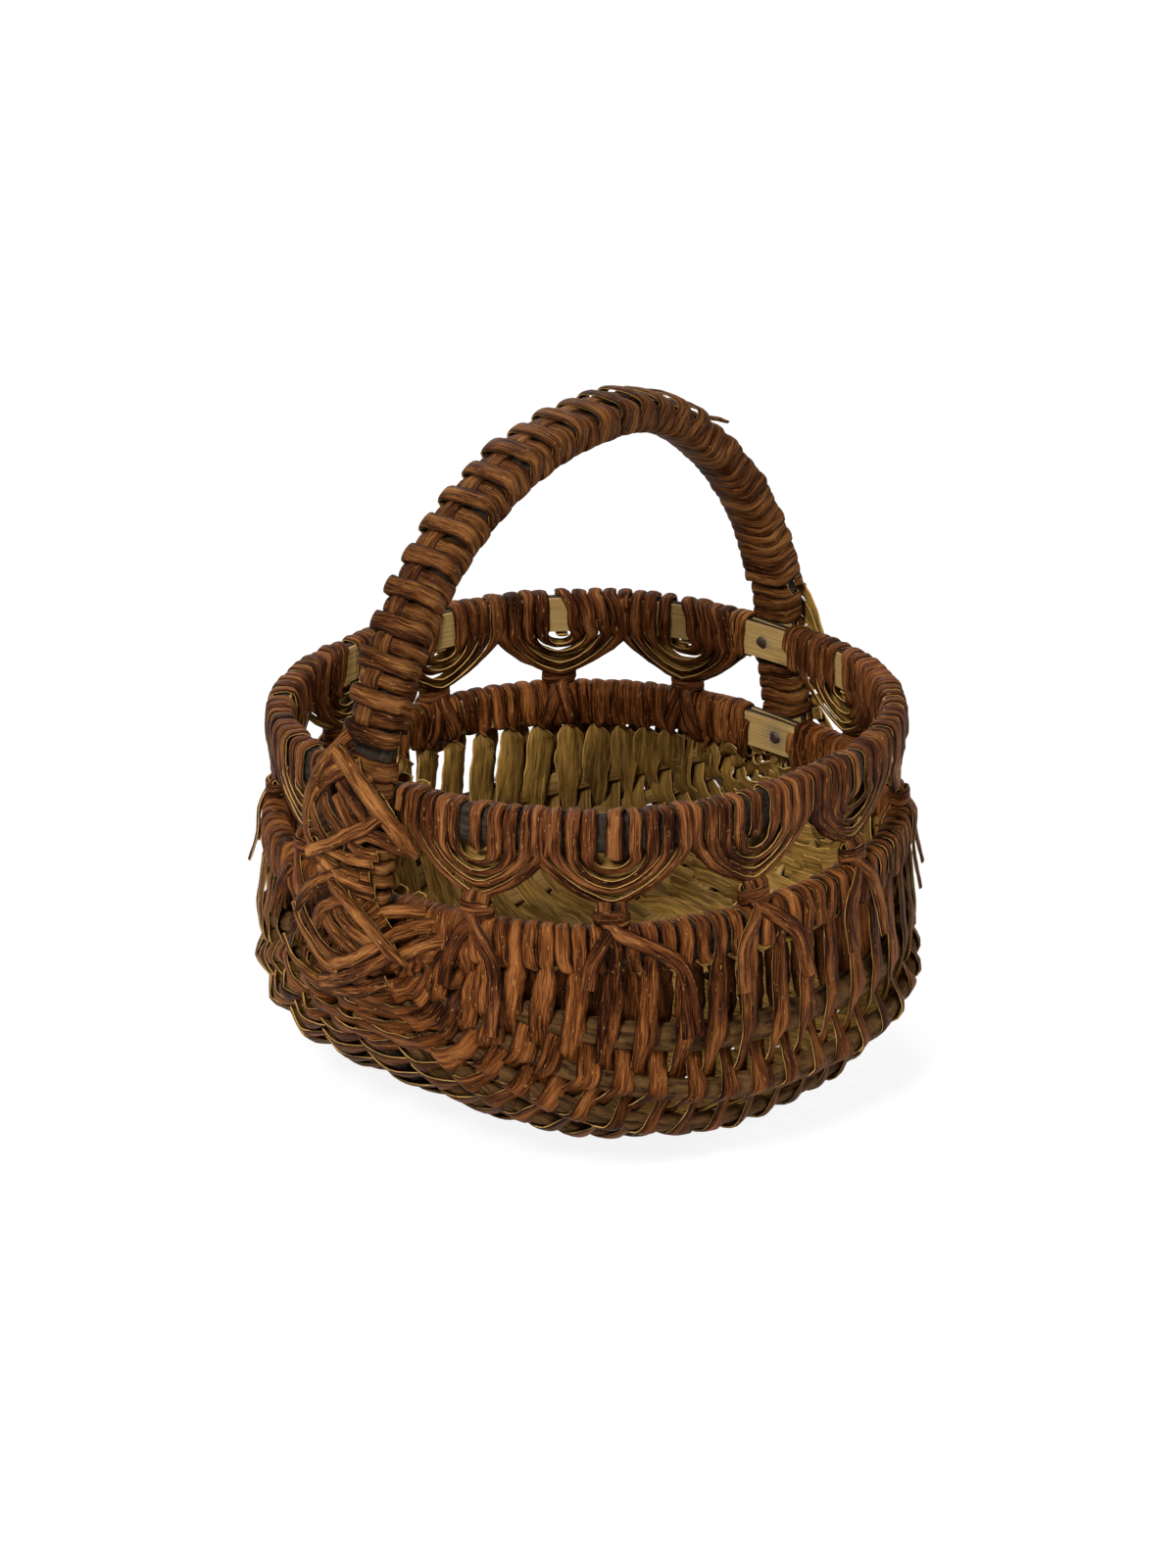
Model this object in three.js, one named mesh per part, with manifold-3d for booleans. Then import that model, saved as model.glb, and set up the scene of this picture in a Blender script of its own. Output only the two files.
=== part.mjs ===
// A ribbed berry basket of split willow: two rim hoops with a looped gallery between them,
// a bow handle that runs on under the bowl as its keel, and strands woven over and under ten ribs.
// Millimetres, +Z up. The origin is where the basket stands, under the middle of the bowl.
// The handle lies in the XZ plane, and +Y and -Y are the two long walls beside it.
import * as THREE from 'three';
import { mergeVertices } from 'three/addons/utils/BufferGeometryUtils.js';
import Module from 'manifold-3d';

// Plan and heights of the frame
const rimHalfLength = 107;
const rimHalfWidth = 107;
const lowerRimSpread = 2.5;
const rimSpacing = 42.5;
const bowRise = 115;
const bowlDepth = 91;

// Sections of the wood, width by thickness
const rimRodHeight = 14.2;
const rimRodThickness = 7;
const handleWidth = 20;
const handleThickness = 6;
const keelWidth = 12;
const ribWidth = 11;
const ribThickness = 6;

// Strands and how closely they lie
const weaverWidth = 9;
const weaverThickness = 1.4;
const skeinThickness = 1.2;
const galleryWidth = 5.2;
const galleryPitch = 6.8;
const galleryReach = 20.5;
const scallopClearance = 8.1;
const tieWidth = 5;
const listingWidth = 7;
const listingThickness = 1;
const eyeRibbonWidth = 3.6;
const eyeTurnStep = 5.8;
const eyeInnerReach = 3.5;
const seatGap = 0.3;
const groundPress = 0.7;
const windingGap = 1.4;

// Nails in the scarfed ends of the two rims
const nailHeadRadius = 2.3;
const nailHeadThickness = 0.9;
const nailShankRadius = 0.9;
const nailClearance = 0.3;
const upperNailOffset = 4;
const lowerNailOffset = -1;

// Counts
const weaverCount = 6;
const coursesPerWeaver = 4;
const loopsPerScallop = 3;
const scallopsPerSide = 6;
const eyeTurns = 3;
const listedTurns = 35;
const plainTurns = 16;
const footTurns = 3;
const bowSteps = 30;
const rimSteps = 72;
const arcSamples = 400;

// Shape exponents and angles
const planSquareness = 2.35;
const endSquareness = 3;
const crossSquareness = 2.92;
const bulgeShare = 0.15;
const keelKickShare = 0.09;
const keelKickSharpness = 8;
const ribAngleShares = [0.165, 0.33, 0.51, 0.69, 0.855];
const ribTipAngle = THREE.MathUtils.degToRad(7.5);
const firstCourseAngle = THREE.MathUtils.degToRad(10.5);
const ladderStartAngle = THREE.MathUtils.degToRad(11.5);
const ladderEndAngle = THREE.MathUtils.degToRad(54);
const wrapGapAngle = THREE.MathUtils.degToRad(1.4);

// Shares of the sizes that they follow
const ribCrowdShare = 0.24;
const keelCrowdShare = 0.32;
const ribEdgeShare = 0.96;
const keelEdgeShare = 1.16;
const weaverFillShare = 0.8;
const eyeDipShare = 0.45;
const listingOffsetShare = 0.25;
const rodShares = [[-1, -1], [1, -1], [1, 0.3], [0.6, 1], [-0.6, 1], [-1, 0.3]];
const ribShares = [[-0.8, -1], [0.8, -1], [1, 0.2], [0, 1], [-1, 0.2]];
const ribbonShares = [[-1, -1], [1, -1], [1, 1], [-1, 1]];
const outerTurnShares = [0, 0, 0, 0.5, 1, 1];
const innerTurnShares = [0, 0, 0.5, 1, 1, 1];

// Values that follow from those above
const lowerRimHalfLength = rimHalfLength + lowerRimSpread;
const lowerRimHalfWidth = rimHalfWidth + lowerRimSpread;
const handleSeat = rimRodThickness / 2 + seatGap + handleThickness / 2;
const bowHalfSpan = rimHalfLength + handleSeat;
const keelHalfLength = lowerRimHalfLength + handleSeat;
const lowerRimHeight = bowlDepth + ribThickness / 2 + seatGap + weaverThickness - groundPress;
const upperRimHeight = lowerRimHeight + rimSpacing;
const courseCount = weaverCount * coursesPerWeaver;
const ribAngles = ribAngleShares.map((share) => share * Math.PI / 2);
const ribStep = Math.PI / (2 * ribAngles.length + 2);
const crossings = [...ribAngles, Math.PI / 2, ...ribAngles.map((angle) => Math.PI - angle).reverse()];
const keelPlace = ribAngles.length;
const scallopHalfWidth = galleryReach + galleryWidth / 2;
const firstScallopAngle = (handleWidth / 2 + scallopClearance + scallopHalfWidth) / rimHalfLength;
const up = new THREE.Vector3(0, 0, 1);
const sideways = new THREE.Vector3(0, 1, 0);

const basket = new THREE.Group();

// Materials
const skeinBark = new THREE.MeshStandardMaterial({ color: 0x5e3322, roughness: 0.55, metalness: 0 });
const weaverBark = new THREE.MeshStandardMaterial({ color: 0x6b3c27, roughness: 0.6, metalness: 0 });
const hoopBark = new THREE.MeshStandardMaterial({ color: 0x3c2f28, roughness: 0.8, metalness: 0 });
const ribBark = new THREE.MeshStandardMaterial({ color: 0x6f5a45, roughness: 0.8, metalness: 0 });
const paleSplit = new THREE.MeshStandardMaterial({ color: 0xb08a55, roughness: 0.7, metalness: 0 });
const oldIron = new THREE.MeshStandardMaterial({ color: 0x37302c, roughness: 0.6, metalness: 0.8 });

function addPiece(name, geometry, material) {
  const piece = new THREE.Mesh(geometry, material);
  piece.name = name;
  basket.add(piece);
}

function numbered(stem, index) {
  return `${stem}_${String(index + 1).padStart(2, '0')}`;
}

// A power that keeps its sign, for superellipses
function signedPower(value, exponent) {
  return Math.sign(value) * Math.abs(value) ** exponent;
}

// Six times the volume that a closed set of triangles holds, negative when it is inside out
function signedVolume(positions, indices) {
  const corners = [0, 1, 2].map(() => new THREE.Vector3());
  let total = 0;
  for (let i = 0; i < indices.length; i += 3) {
    corners.forEach((corner, j) => corner.fromArray(positions, 3 * indices[i + j]));
    total += corners[0].dot(corners[1].cross(corners[2]));
  }
  return total;
}

// Rings of a section along a list of stations, joined into one closed body.
// A station has its place, its outward direction, and half its width and thickness. Its width
// runs square to its travel, or along a direction of its own where it is bound round a rod.
function sweep(stations, shares, closed = false) {
  const count = stations.length;
  const sides = shares.length;
  const positions = [];
  let lastAcross = null;
  let firstTurn = null;
  stations.forEach((station, i) => {
    const before = stations[closed ? (i + count - 1) % count : Math.max(i - 1, 0)].at;
    const after = stations[closed ? (i + 1) % count : Math.min(i + 1, count - 1)].at;
    const travel = after.clone().sub(before);
    const out = station.out.clone();
    const across = station.across ? station.across.clone() : new THREE.Vector3().crossVectors(travel, out);
    across.normalize();
    if (lastAcross && across.dot(lastAcross) < 0) {
      across.negate();
      out.negate();
    }
    lastAcross = across;
    // Every ring turns the same way round the travel, so that the body never folds through itself
    const turn = Math.sign(new THREE.Vector3().crossVectors(across, out).dot(travel));
    firstTurn ??= turn;
    if (turn !== firstTurn) out.negate();
    for (const [acrossShare, outShare] of shares) {
      const corner = station.at.clone();
      corner.addScaledVector(across, acrossShare * station.halfWidth);
      corner.addScaledVector(out, outShare * station.halfThickness);
      // The lowest strands are worn flat where the basket stands
      positions.push(corner.x, corner.y, Math.max(corner.z, 0));
    }
  });
  const indices = [];
  const ringCount = closed ? count : count - 1;
  for (let ring = 0; ring < ringCount; ring += 1) {
    const next = (ring + 1) % count;
    for (let side = 0; side < sides; side += 1) {
      const turn = (side + 1) % sides;
      const [a, b] = [ring * sides + side, ring * sides + turn];
      const [c, d] = [next * sides + side, next * sides + turn];
      // Opposite faces split along the same diagonal, so that a twisted ribbon keeps its thickness
      if (2 * side < sides) indices.push(a, b, d, a, d, c);
      else indices.push(a, b, c, b, d, c);
    }
  }
  if (!closed) {
    const last = (count - 1) * sides;
    for (let side = 1; side < sides - 1; side += 1) {
      indices.push(0, side + 1, side);
      indices.push(last, last + side, last + side + 1);
    }
  }
  if (signedVolume(positions, indices) < 0) {
    indices.reverse();
  }
  const geometry = new THREE.BufferGeometry();
  geometry.setAttribute('position', new THREE.Float32BufferAttribute(positions, 3));
  geometry.setIndex(indices);
  geometry.computeVertexNormals();
  return geometry;
}

// Section corners of a rod grown by an offset, with the direction in which each one grows
function grownCorners(halfHeight, halfThickness, offset) {
  const corners = rodShares.map(([a, o]) => new THREE.Vector2(a * halfHeight, o * halfThickness));
  return corners.map((corner, i) => {
    const before = corner.clone().sub(corners.at(i - 1)).normalize();
    const after = corners[(i + 1) % corners.length].clone().sub(corner).normalize();
    const grow = new THREE.Vector2(before.y + after.y, -before.x - after.x);
    grow.divideScalar(1 + before.dot(after));
    return { place: corner.clone().addScaledVector(grow, offset), grow };
  });
}

// A station on a grown corner of a rod, whose frame has a middle, a side and an outward direction
function cornerStation(frame, corner, halfWidth, halfThickness, lift = 0) {
  const at = frame.at.clone().addScaledVector(frame.side, corner.place.x);
  at.addScaledVector(frame.out, corner.place.y + lift);
  const out = frame.side.clone().multiplyScalar(corner.grow.x).addScaledVector(frame.out, corner.grow.y);
  const across = new THREE.Vector3().crossVectors(frame.side, frame.out);
  return { at, out, across, halfWidth, halfThickness };
}

// Places on the bowl, through the middles of the ribs. The angle along goes from the +X foot to
// the -X foot, and the angle round goes from the +Y rim under the keel to the -Y rim.
function depthShare(round) {
  const rise = Math.sin(round) ** (2 / crossSquareness);
  return rise * (1 - keelKickShare * Math.sin(round) ** keelKickSharpness);
}
const deepestShare = depthShare(ribAngles.at(-1));

function bowlPoint(along, round) {
  const reach = lowerRimHalfLength + (keelHalfLength - lowerRimHalfLength) * Math.sin(round);
  const spread = Math.sin(along) ** (2 / planSquareness);
  const drop = Math.sin(along) ** (2 / endSquareness);
  const bulge = 1 + bulgeShare * Math.sin(2 * round) ** 2;
  const width = lowerRimHalfWidth * signedPower(Math.cos(round), 2 / crossSquareness) * bulge;
  return new THREE.Vector3(
    reach * signedPower(Math.cos(along), 2 / planSquareness),
    width * spread,
    lowerRimHeight - bowlDepth * depthShare(round) / deepestShare * drop,
  );
}

const angleStep = 0.002;

function bowlSlope(along, round, alongStep, roundStep) {
  const before = bowlPoint(along - alongStep, round - roundStep);
  return bowlPoint(along + alongStep, round + roundStep).sub(before);
}

function bowlNormal(along, round) {
  const normal = bowlSlope(along, round, 0, angleStep).cross(bowlSlope(along, round, angleStep, 0));
  const inward = new THREE.Vector3(0, 0, lowerRimHeight).sub(bowlPoint(along, round));
  return normal.multiplyScalar(-Math.sign(normal.dot(inward))).normalize();
}

// Course angles, evenly spaced along the middle side rib
function evenCourses() {
  const round = ribAngles[Math.floor(ribAngles.length / 2)];
  const start = firstCourseAngle;
  const range = Math.PI - 2 * start;
  const lengths = [0];
  for (let i = 1; i <= arcSamples; i += 1) {
    const from = bowlPoint(start + range * (i - 1) / arcSamples, round);
    lengths.push(lengths.at(-1) + from.distanceTo(bowlPoint(start + range * i / arcSamples, round)));
  }
  return Array.from({ length: courseCount }, (_, course) => {
    const target = lengths.at(-1) * course / (courseCount - 1);
    const place = Math.max(1, lengths.findIndex((length) => length >= target));
    const part = (target - lengths[place - 1]) / (lengths[place] - lengths[place - 1]);
    return start + range * (place - 1 + part) / arcSamples;
  });
}
const courseAngles = evenCourses();

function courseAngle(course) {
  if (course < 0) return 2 * courseAngles[0] - courseAngles[1];
  if (course >= courseCount) return 2 * courseAngles.at(-1) - courseAngles.at(-2);
  return courseAngles[course];
}

// Ribs and keel thin down where they crowd together under the lower eyes
function woodAt(along, place) {
  const crowd = bowlSlope(along, crossings[place], 0, ribStep / 2).length();
  if (place === keelPlace) {
    const halfWidth = Math.min(keelWidth / 2, keelCrowdShare * crowd);
    return { halfWidth, halfThickness: handleThickness / 2 };
  }
  const halfWidth = Math.min(ribWidth / 2, ribCrowdShare * crowd);
  const halfThickness = ribThickness / 2 * Math.sqrt(2 * halfWidth / ribWidth);
  return { halfWidth, halfThickness };
}

// Rim hoops
function rimFrame(halfLength, halfWidth, height, angle) {
  const c = Math.cos(angle);
  const s = Math.sin(angle);
  const power = 2 / planSquareness;
  const at = new THREE.Vector3(halfLength * signedPower(c, power), halfWidth * signedPower(s, power), height);
  const slope = 2 - power;
  const out = new THREE.Vector3(signedPower(c, slope) / halfLength, signedPower(s, slope) / halfWidth, 0);
  return { at, side: up, out: out.normalize() };
}

function lowerRimFrame(angle) {
  return rimFrame(lowerRimHalfLength, lowerRimHalfWidth, lowerRimHeight, angle);
}

// The superellipse angle whose place lies in a given direction from the middle
function planAngle(direction) {
  const power = planSquareness / 2;
  const c = signedPower(Math.cos(direction) / rimHalfLength, power);
  return Math.atan2(signedPower(Math.sin(direction) / rimHalfWidth, power), c);
}

function upperRimFrame(direction) {
  return rimFrame(rimHalfLength, rimHalfWidth, upperRimHeight, planAngle(direction));
}

function rimHoop(frames) {
  const [halfWidth, halfThickness] = [rimRodHeight / 2, rimRodThickness / 2];
  return sweep(frames.map(({ at, out }) => ({ at, out, halfWidth, halfThickness })), rodShares, true);
}

// Solids for cutting the nail holes
const wasm = await Module();
wasm.setup();

function toSolid(geometry) {
  const bare = geometry.clone();
  bare.deleteAttribute('normal');
  bare.deleteAttribute('uv');
  const merged = mergeVertices(bare);
  const vertProperties = new Float32Array(merged.attributes.position.array);
  const triVerts = new Uint32Array(merged.index.array);
  return new wasm.Manifold(new wasm.Mesh({ numProp: 3, vertProperties, triVerts }));
}

function toGeometry(solid) {
  const mesh = solid.getMesh();
  const geometry = new THREE.BufferGeometry();
  geometry.setAttribute('position', new THREE.Float32BufferAttribute(mesh.vertProperties, 3));
  geometry.setIndex(new THREE.Uint32BufferAttribute(mesh.triVerts, 1));
  geometry.computeVertexNormals();
  return geometry;
}

// A nail's place: through the scarf at the +X foot, its head on the flat inner face
function nailAngle(offset, halfWidth) {
  return Math.asin(signedPower(offset / halfWidth, planSquareness / 2));
}

function alongNail(geometry, frame) {
  const turn = new THREE.Quaternion().setFromUnitVectors(sideways, frame.out);
  const move = new THREE.Matrix4().compose(frame.at, turn, new THREE.Vector3(1, 1, 1));
  return geometry.clone().applyMatrix4(move);
}

const nailFace = rimRodThickness / 2 + seatGap;
const nailTip = rimRodThickness / 2;
const nailProfile = [
  new THREE.Vector2(0, -nailFace - nailHeadThickness),
  new THREE.Vector2(nailHeadRadius / 2, -nailFace - nailHeadThickness),
  new THREE.Vector2(nailHeadRadius, -nailFace - nailHeadThickness / 2),
  new THREE.Vector2(nailHeadRadius, -nailFace),
  new THREE.Vector2(nailShankRadius, -nailFace),
  new THREE.Vector2(nailShankRadius, 0),
  new THREE.Vector2(0, nailTip),
];
const nailShape = new THREE.LatheGeometry(nailProfile, 10);
const nailHole = new THREE.CylinderGeometry(
  nailShankRadius + nailClearance, nailShankRadius + nailClearance, 2 * rimRodThickness, 10,
);

// Lower rim rings follow the courses, so that each strand lies on a ring
const upperNail = nailAngle(upperNailOffset, rimHalfWidth);
const lowerNail = nailAngle(lowerNailOffset, lowerRimHalfWidth);
const lowerRimAngles = [lowerNail - firstCourseAngle / 3, lowerNail, lowerNail + firstCourseAngle / 3];
courseAngles.forEach((angle) => lowerRimAngles.push(angle));
lowerRimAngles.push(Math.PI);
[...courseAngles].reverse().forEach((angle) => lowerRimAngles.push(-angle));
const upperDirections = Array.from({ length: rimSteps }, (_, i) => i * 2 * Math.PI / rimSteps);
const upperNailFrame = rimFrame(rimHalfLength, rimHalfWidth, upperRimHeight, upperNail);
const rims = [
  ['upper', upperDirections.map(upperRimFrame), upperNailFrame],
  ['lower', lowerRimAngles.map(lowerRimFrame), lowerRimFrame(lowerNail)],
];
for (const [level, frames, frame] of rims) {
  const hoop = toSolid(rimHoop(frames)).subtract(toSolid(alongNail(nailHole, frame)));
  addPiece(`${level}_rim_hoop`, toGeometry(hoop), hoopBark);
  addPiece(`rim_nail_${level}`, alongNail(nailShape, frame), oldIron);
}

// Handle: a bow over the top, two legs outside the rims, and the keel under the bowl
function bowFrame(angle) {
  const at = new THREE.Vector3(bowHalfSpan * Math.cos(angle), 0, upperRimHeight + bowRise * Math.sin(angle));
  const out = new THREE.Vector3(Math.cos(angle) / bowHalfSpan, 0, Math.sin(angle) / bowRise).normalize();
  return { at, side: sideways, out };
}

function legFrame(end, share) {
  const x = end * (keelHalfLength + (bowHalfSpan - keelHalfLength) * share);
  const at = new THREE.Vector3(x, 0, lowerRimHeight + rimSpacing * share);
  return { at, side: sideways, out: new THREE.Vector3(end, 0, 0) };
}

function handleStations() {
  const stations = [];
  const halfThickness = handleThickness / 2;
  for (let i = 0; i <= bowSteps; i += 1) {
    const { at, out } = bowFrame(Math.PI * i / bowSteps);
    stations.push({ at, out, halfWidth: handleWidth / 2, halfThickness });
  }
  const leftLeg = legFrame(-1, 0);
  stations.push({ at: leftLeg.at, out: leftLeg.out, halfWidth: handleWidth / 2, halfThickness });
  const keelAngles = [ribTipAngle, ...courseAngles, Math.PI - ribTipAngle].reverse();
  for (const along of keelAngles) {
    const out = bowlNormal(along, Math.PI / 2);
    stations.push({ at: bowlPoint(along, Math.PI / 2), out, ...woodAt(along, keelPlace) });
  }
  const rightLeg = legFrame(1, 0);
  stations.push({ at: rightLeg.at, out: rightLeg.out, halfWidth: handleWidth / 2, halfThickness });
  return stations;
}
addPiece('handle_hoop', sweep(handleStations(), rodShares, true), hoopBark);

// Ribs, each tapered to a point under the lower eyes
const ribPlaces = crossings.map((_, place) => place).filter((place) => place !== keelPlace);
ribPlaces.forEach((place, index) => {
  const alongs = [ribTipAngle, ...courseAngles, Math.PI - ribTipAngle];
  const stations = alongs.map((along) => ({
    at: bowlPoint(along, crossings[place]),
    out: bowlNormal(along, crossings[place]),
    ...woodAt(along, place),
  }));
  addPiece(numbered('rib', index), sweep(stations, ribShares), ribBark);
});

// Weavers: each strand runs four courses from rim to rim, over one rib and under the next,
// and turns over the lower rim between one course and the next
const weaverOffset = seatGap + weaverThickness / 2;
const lowerRimCorners = grownCorners(rimRodHeight / 2, rimRodThickness / 2, weaverOffset);

function sideOf(course, place) {
  return (course + place) % 2 === 0 ? 1 : -1;
}

// Half the width of a strand, so that neighbouring courses stay clear of each other
function weaverHalfWidth(course, round) {
  const along = courseAngle(course);
  const here = bowlPoint(along, round);
  const before = here.distanceTo(bowlPoint(courseAngle(course - 1), round));
  const after = here.distanceTo(bowlPoint(courseAngle(course + 1), round));
  return Math.min(weaverWidth, weaverFillShare * Math.min(before, after)) / 2;
}

// How far a bent rib reaches in towards a flat strand that lies under it
function ribSag(course, round, halfWidth) {
  const here = bowlPoint(courseAngle(course), round);
  const before = here.clone().sub(bowlPoint(courseAngle(course - 1), round));
  const after = bowlPoint(courseAngle(course + 1), round).sub(here);
  return halfWidth * Math.tan(before.angleTo(after) / 2);
}

function crossingStations(course, place, forward) {
  const along = courseAngle(course);
  const round = crossings[place];
  const wood = woodAt(along, place);
  const halfWidth = weaverHalfWidth(course, round);
  const side = sideOf(course, place);
  const sag = side < 0 ? ribSag(course, round, halfWidth) : 0;
  const offset = side * (wood.halfThickness + weaverOffset + sag);
  const reach = (place === keelPlace ? keelEdgeShare : ribEdgeShare) * wood.halfWidth;
  const out = bowlNormal(along, round);
  const across = bowlSlope(along, round, angleStep, 0).normalize();
  const onward = bowlSlope(along, round, 0, angleStep).projectOnPlane(across).normalize();
  return (forward ? [-reach, reach] : [reach, -reach]).map((step) => {
    const at = bowlPoint(along, round).addScaledVector(onward, step).addScaledVector(out, offset);
    return { at, out, across, halfWidth, halfThickness: weaverThickness / 2 };
  });
}

function rimStation(alongs, corner, mirror) {
  const frame = lowerRimFrame(mirror * alongs);
  const halfWidth = weaverFillShare * weaverWidth / 2;
  return cornerStation(frame, lowerRimCorners[corner], halfWidth, weaverThickness / 2);
}

function weaverStations(firstCourse) {
  const stations = [];
  const lastCourse = firstCourse + coursesPerWeaver - 1;
  const outerFace = [5, 4, 3];
  const innerFace = [0, 1];
  for (let course = firstCourse; course <= lastCourse; course += 1) {
    const forward = course % 2 === 0;
    const along = courseAngle(course);
    if (course === firstCourse) {
      const mirror = forward ? 1 : -1;
      const face = sideOf(course, forward ? 0 : crossings.length - 1) < 0 ? outerFace : innerFace;
      [...face].reverse().forEach((corner) => stations.push(rimStation(along, corner, mirror)));
    }
    const places = crossings.map((_, place) => place);
    if (!forward) places.reverse();
    places.forEach((place) => stations.push(...crossingStations(course, place, forward)));
    const mirror = forward ? -1 : 1;
    const outsideFirst = sideOf(course, places.at(-1)) < 0;
    if (course === lastCourse) {
      const face = outsideFirst ? outerFace : innerFace;
      face.forEach((corner) => stations.push(rimStation(along, corner, mirror)));
    } else {
      const next = courseAngle(course + 1);
      const corners = rodShares.map((_, corner) => corner);
      if (outsideFirst) corners.reverse();
      const parts = outsideFirst ? outerTurnShares : innerTurnShares;
      corners.forEach((corner, i) => {
        stations.push(rimStation(along + (next - along) * parts[i], corner, mirror));
      });
    }
  }
  return stations;
}
for (let weaver = 0; weaver < weaverCount; weaver += 1) {
  const strand = sweep(weaverStations(weaver * coursesPerWeaver), ribbonShares);
  addPiece(numbered('weaver', weaver), strand, weaverBark);
}

// Gallery: each strand hangs nested loops under the upper rim and turns over it between them
const skeinOffset = seatGap + skeinThickness / 2;
const upperRimCorners = grownCorners(rimRodHeight / 2, rimRodThickness / 2, skeinOffset);
const galleryGap = rimSpacing - rimRodHeight;
const galleryDrop = galleryGap - galleryWidth / 2 - 2 * seatGap - weaverThickness;
const scallopStep = (Math.PI - 2 * firstScallopAngle) / (scallopsPerSide - 1);
const loopSteps = 6;
// How far the lowest loop has risen at the edges of its tie, and so how far apart the loops hang
const loopTurn = Math.PI / loopSteps;
const tieLift = tieWidth / 2 * galleryDrop * (1 - Math.cos(loopTurn)) / (galleryReach * Math.sin(loopTurn));
const galleryRise = galleryWidth + skeinThickness + 2 * seatGap + tieLift;

function galleryStation(middle, offset, corner) {
  const frame = upperRimFrame(middle + offset / rimHalfWidth);
  return cornerStation(frame, upperRimCorners[corner], galleryWidth / 2, skeinThickness / 2);
}

function galleryStations(middle) {
  const stations = [];
  const faceReach = rimRodThickness / 2 + skeinOffset;
  let travel = 1;
  for (let loop = 0; loop < loopsPerScallop; loop += 1) {
    const reach = galleryReach - galleryPitch * loop;
    const drop = galleryDrop - galleryRise * loop;
    stations.push(galleryStation(middle, -travel * reach, 1));
    stations.push(galleryStation(middle, -travel * reach, 0));
    for (let i = 1; i < loopSteps; i += 1) {
      const turn = loopTurn * i;
      const frame = upperRimFrame(middle - travel * reach * Math.cos(turn) / rimHalfWidth);
      const at = frame.at.clone().addScaledVector(frame.out, -faceReach * Math.cos(turn));
      at.z += -rimRodHeight / 2 - drop * Math.sin(turn);
      stations.push({ at, out: frame.out, halfWidth: galleryWidth / 2, halfThickness: skeinThickness / 2 });
    }
    stations.push(galleryStation(middle, travel * reach, 4));
    stations.push(galleryStation(middle, travel * reach, 3));
    stations.push(galleryStation(middle, travel * (reach - galleryPitch / 2), 2));
    travel = -travel;
  }
  const lastReach = -travel * (galleryReach - galleryPitch * loopsPerScallop);
  stations.push(galleryStation(middle, lastReach, 1));
  stations.push(galleryStation(middle, lastReach, 0));
  return stations;
}

// Ties: a strand straddles the lowest loop and the lower rim, outside the strands on that rim
const tieLevel = rimSpacing - rimRodHeight / 2 - galleryDrop + galleryWidth / 2;
const tieSpread = rimRodThickness / 2 + 2 * seatGap + weaverThickness + skeinThickness / 2;
const tieTop = tieLevel + tieLift + seatGap + skeinThickness / 2;
const tieFoot = -rimRodHeight / 4;
const tieCorner = skeinThickness;

function tieStations(direction) {
  const frame = lowerRimFrame(planAngle(direction));
  const route = [
    [tieSpread, tieFoot, 1, 0],
    [tieSpread, tieTop - tieCorner, 1, 0],
    [tieSpread - tieCorner, tieTop, 0, 1],
    [tieCorner - tieSpread, tieTop, 0, 1],
    [-tieSpread, tieTop - tieCorner, -1, 0],
    [-tieSpread, tieFoot, -1, 0],
  ];
  return route.map(([radial, height, outShare, upShare]) => {
    const at = frame.at.clone().addScaledVector(frame.out, radial).addScaledVector(up, height);
    const out = frame.out.clone().multiplyScalar(outShare).addScaledVector(up, upShare);
    return { at, out, halfWidth: tieWidth / 2, halfThickness: skeinThickness / 2 };
  });
}

for (let index = 0; index < 2 * scallopsPerSide; index += 1) {
  const rest = index % scallopsPerSide;
  const mirror = index < scallopsPerSide ? 1 : -1;
  const direction = mirror * (firstScallopAngle + scallopStep * rest);
  addPiece(numbered('gallery_loop', index), sweep(galleryStations(direction), ribbonShares), skeinBark);
  addPiece(numbered('gallery_tie', index), sweep(tieStations(direction), ribbonShares), skeinBark);
}

// Windings round the handle. Each turn crosses the outer face square and climbs on the inner one.
const handleCorners = grownCorners(handleWidth / 2, handleThickness / 2, skeinOffset);
const climbShares = [0.7, 0.3, 0, 0, 0, 0];
const turnOrder = [5, 4, 3, 2, 1, 0];

function windingStations(turns, frameAt, halfWidth, liftOf) {
  const stations = [];
  for (let turn = 0; turn < turns; turn += 1) {
    for (const corner of turnOrder) {
      const frame = frameAt(turn + climbShares[corner]);
      const lift = corner === 3 || corner === 4 ? liftOf(turn) : 0;
      stations.push(cornerStation(frame, handleCorners[corner], halfWidth, skeinThickness / 2, lift));
    }
  }
  return stations;
}

// The least distance between the ring corners of one turn and those of the next
function leastGap(geometry) {
  const { position } = geometry.attributes;
  const perTurn = turnOrder.length * ribbonShares.length;
  const [here, there] = [new THREE.Vector3(), new THREE.Vector3()];
  let least = Infinity;
  for (let i = 0; i + perTurn < position.count; i += 1) {
    here.fromBufferAttribute(position, i);
    const ring = Math.floor(i / ribbonShares.length) * ribbonShares.length + perTurn;
    for (let j = ring; j < ring + ribbonShares.length && j < position.count; j += 1) {
      least = Math.min(least, here.distanceTo(there.fromBufferAttribute(position, j)));
    }
  }
  return least;
}

function addWinding(name, turns, frameAt, pitch, liftOf = () => 0) {
  const halfWidth = (pitch - windingGap) / 2;
  const geometry = sweep(windingStations(turns, frameAt, halfWidth, liftOf), ribbonShares);
  addPiece(name, geometry, skeinBark);
  console.log(`${name}: least gap to itself ${leastGap(geometry).toFixed(2)} mm`);
}

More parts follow.
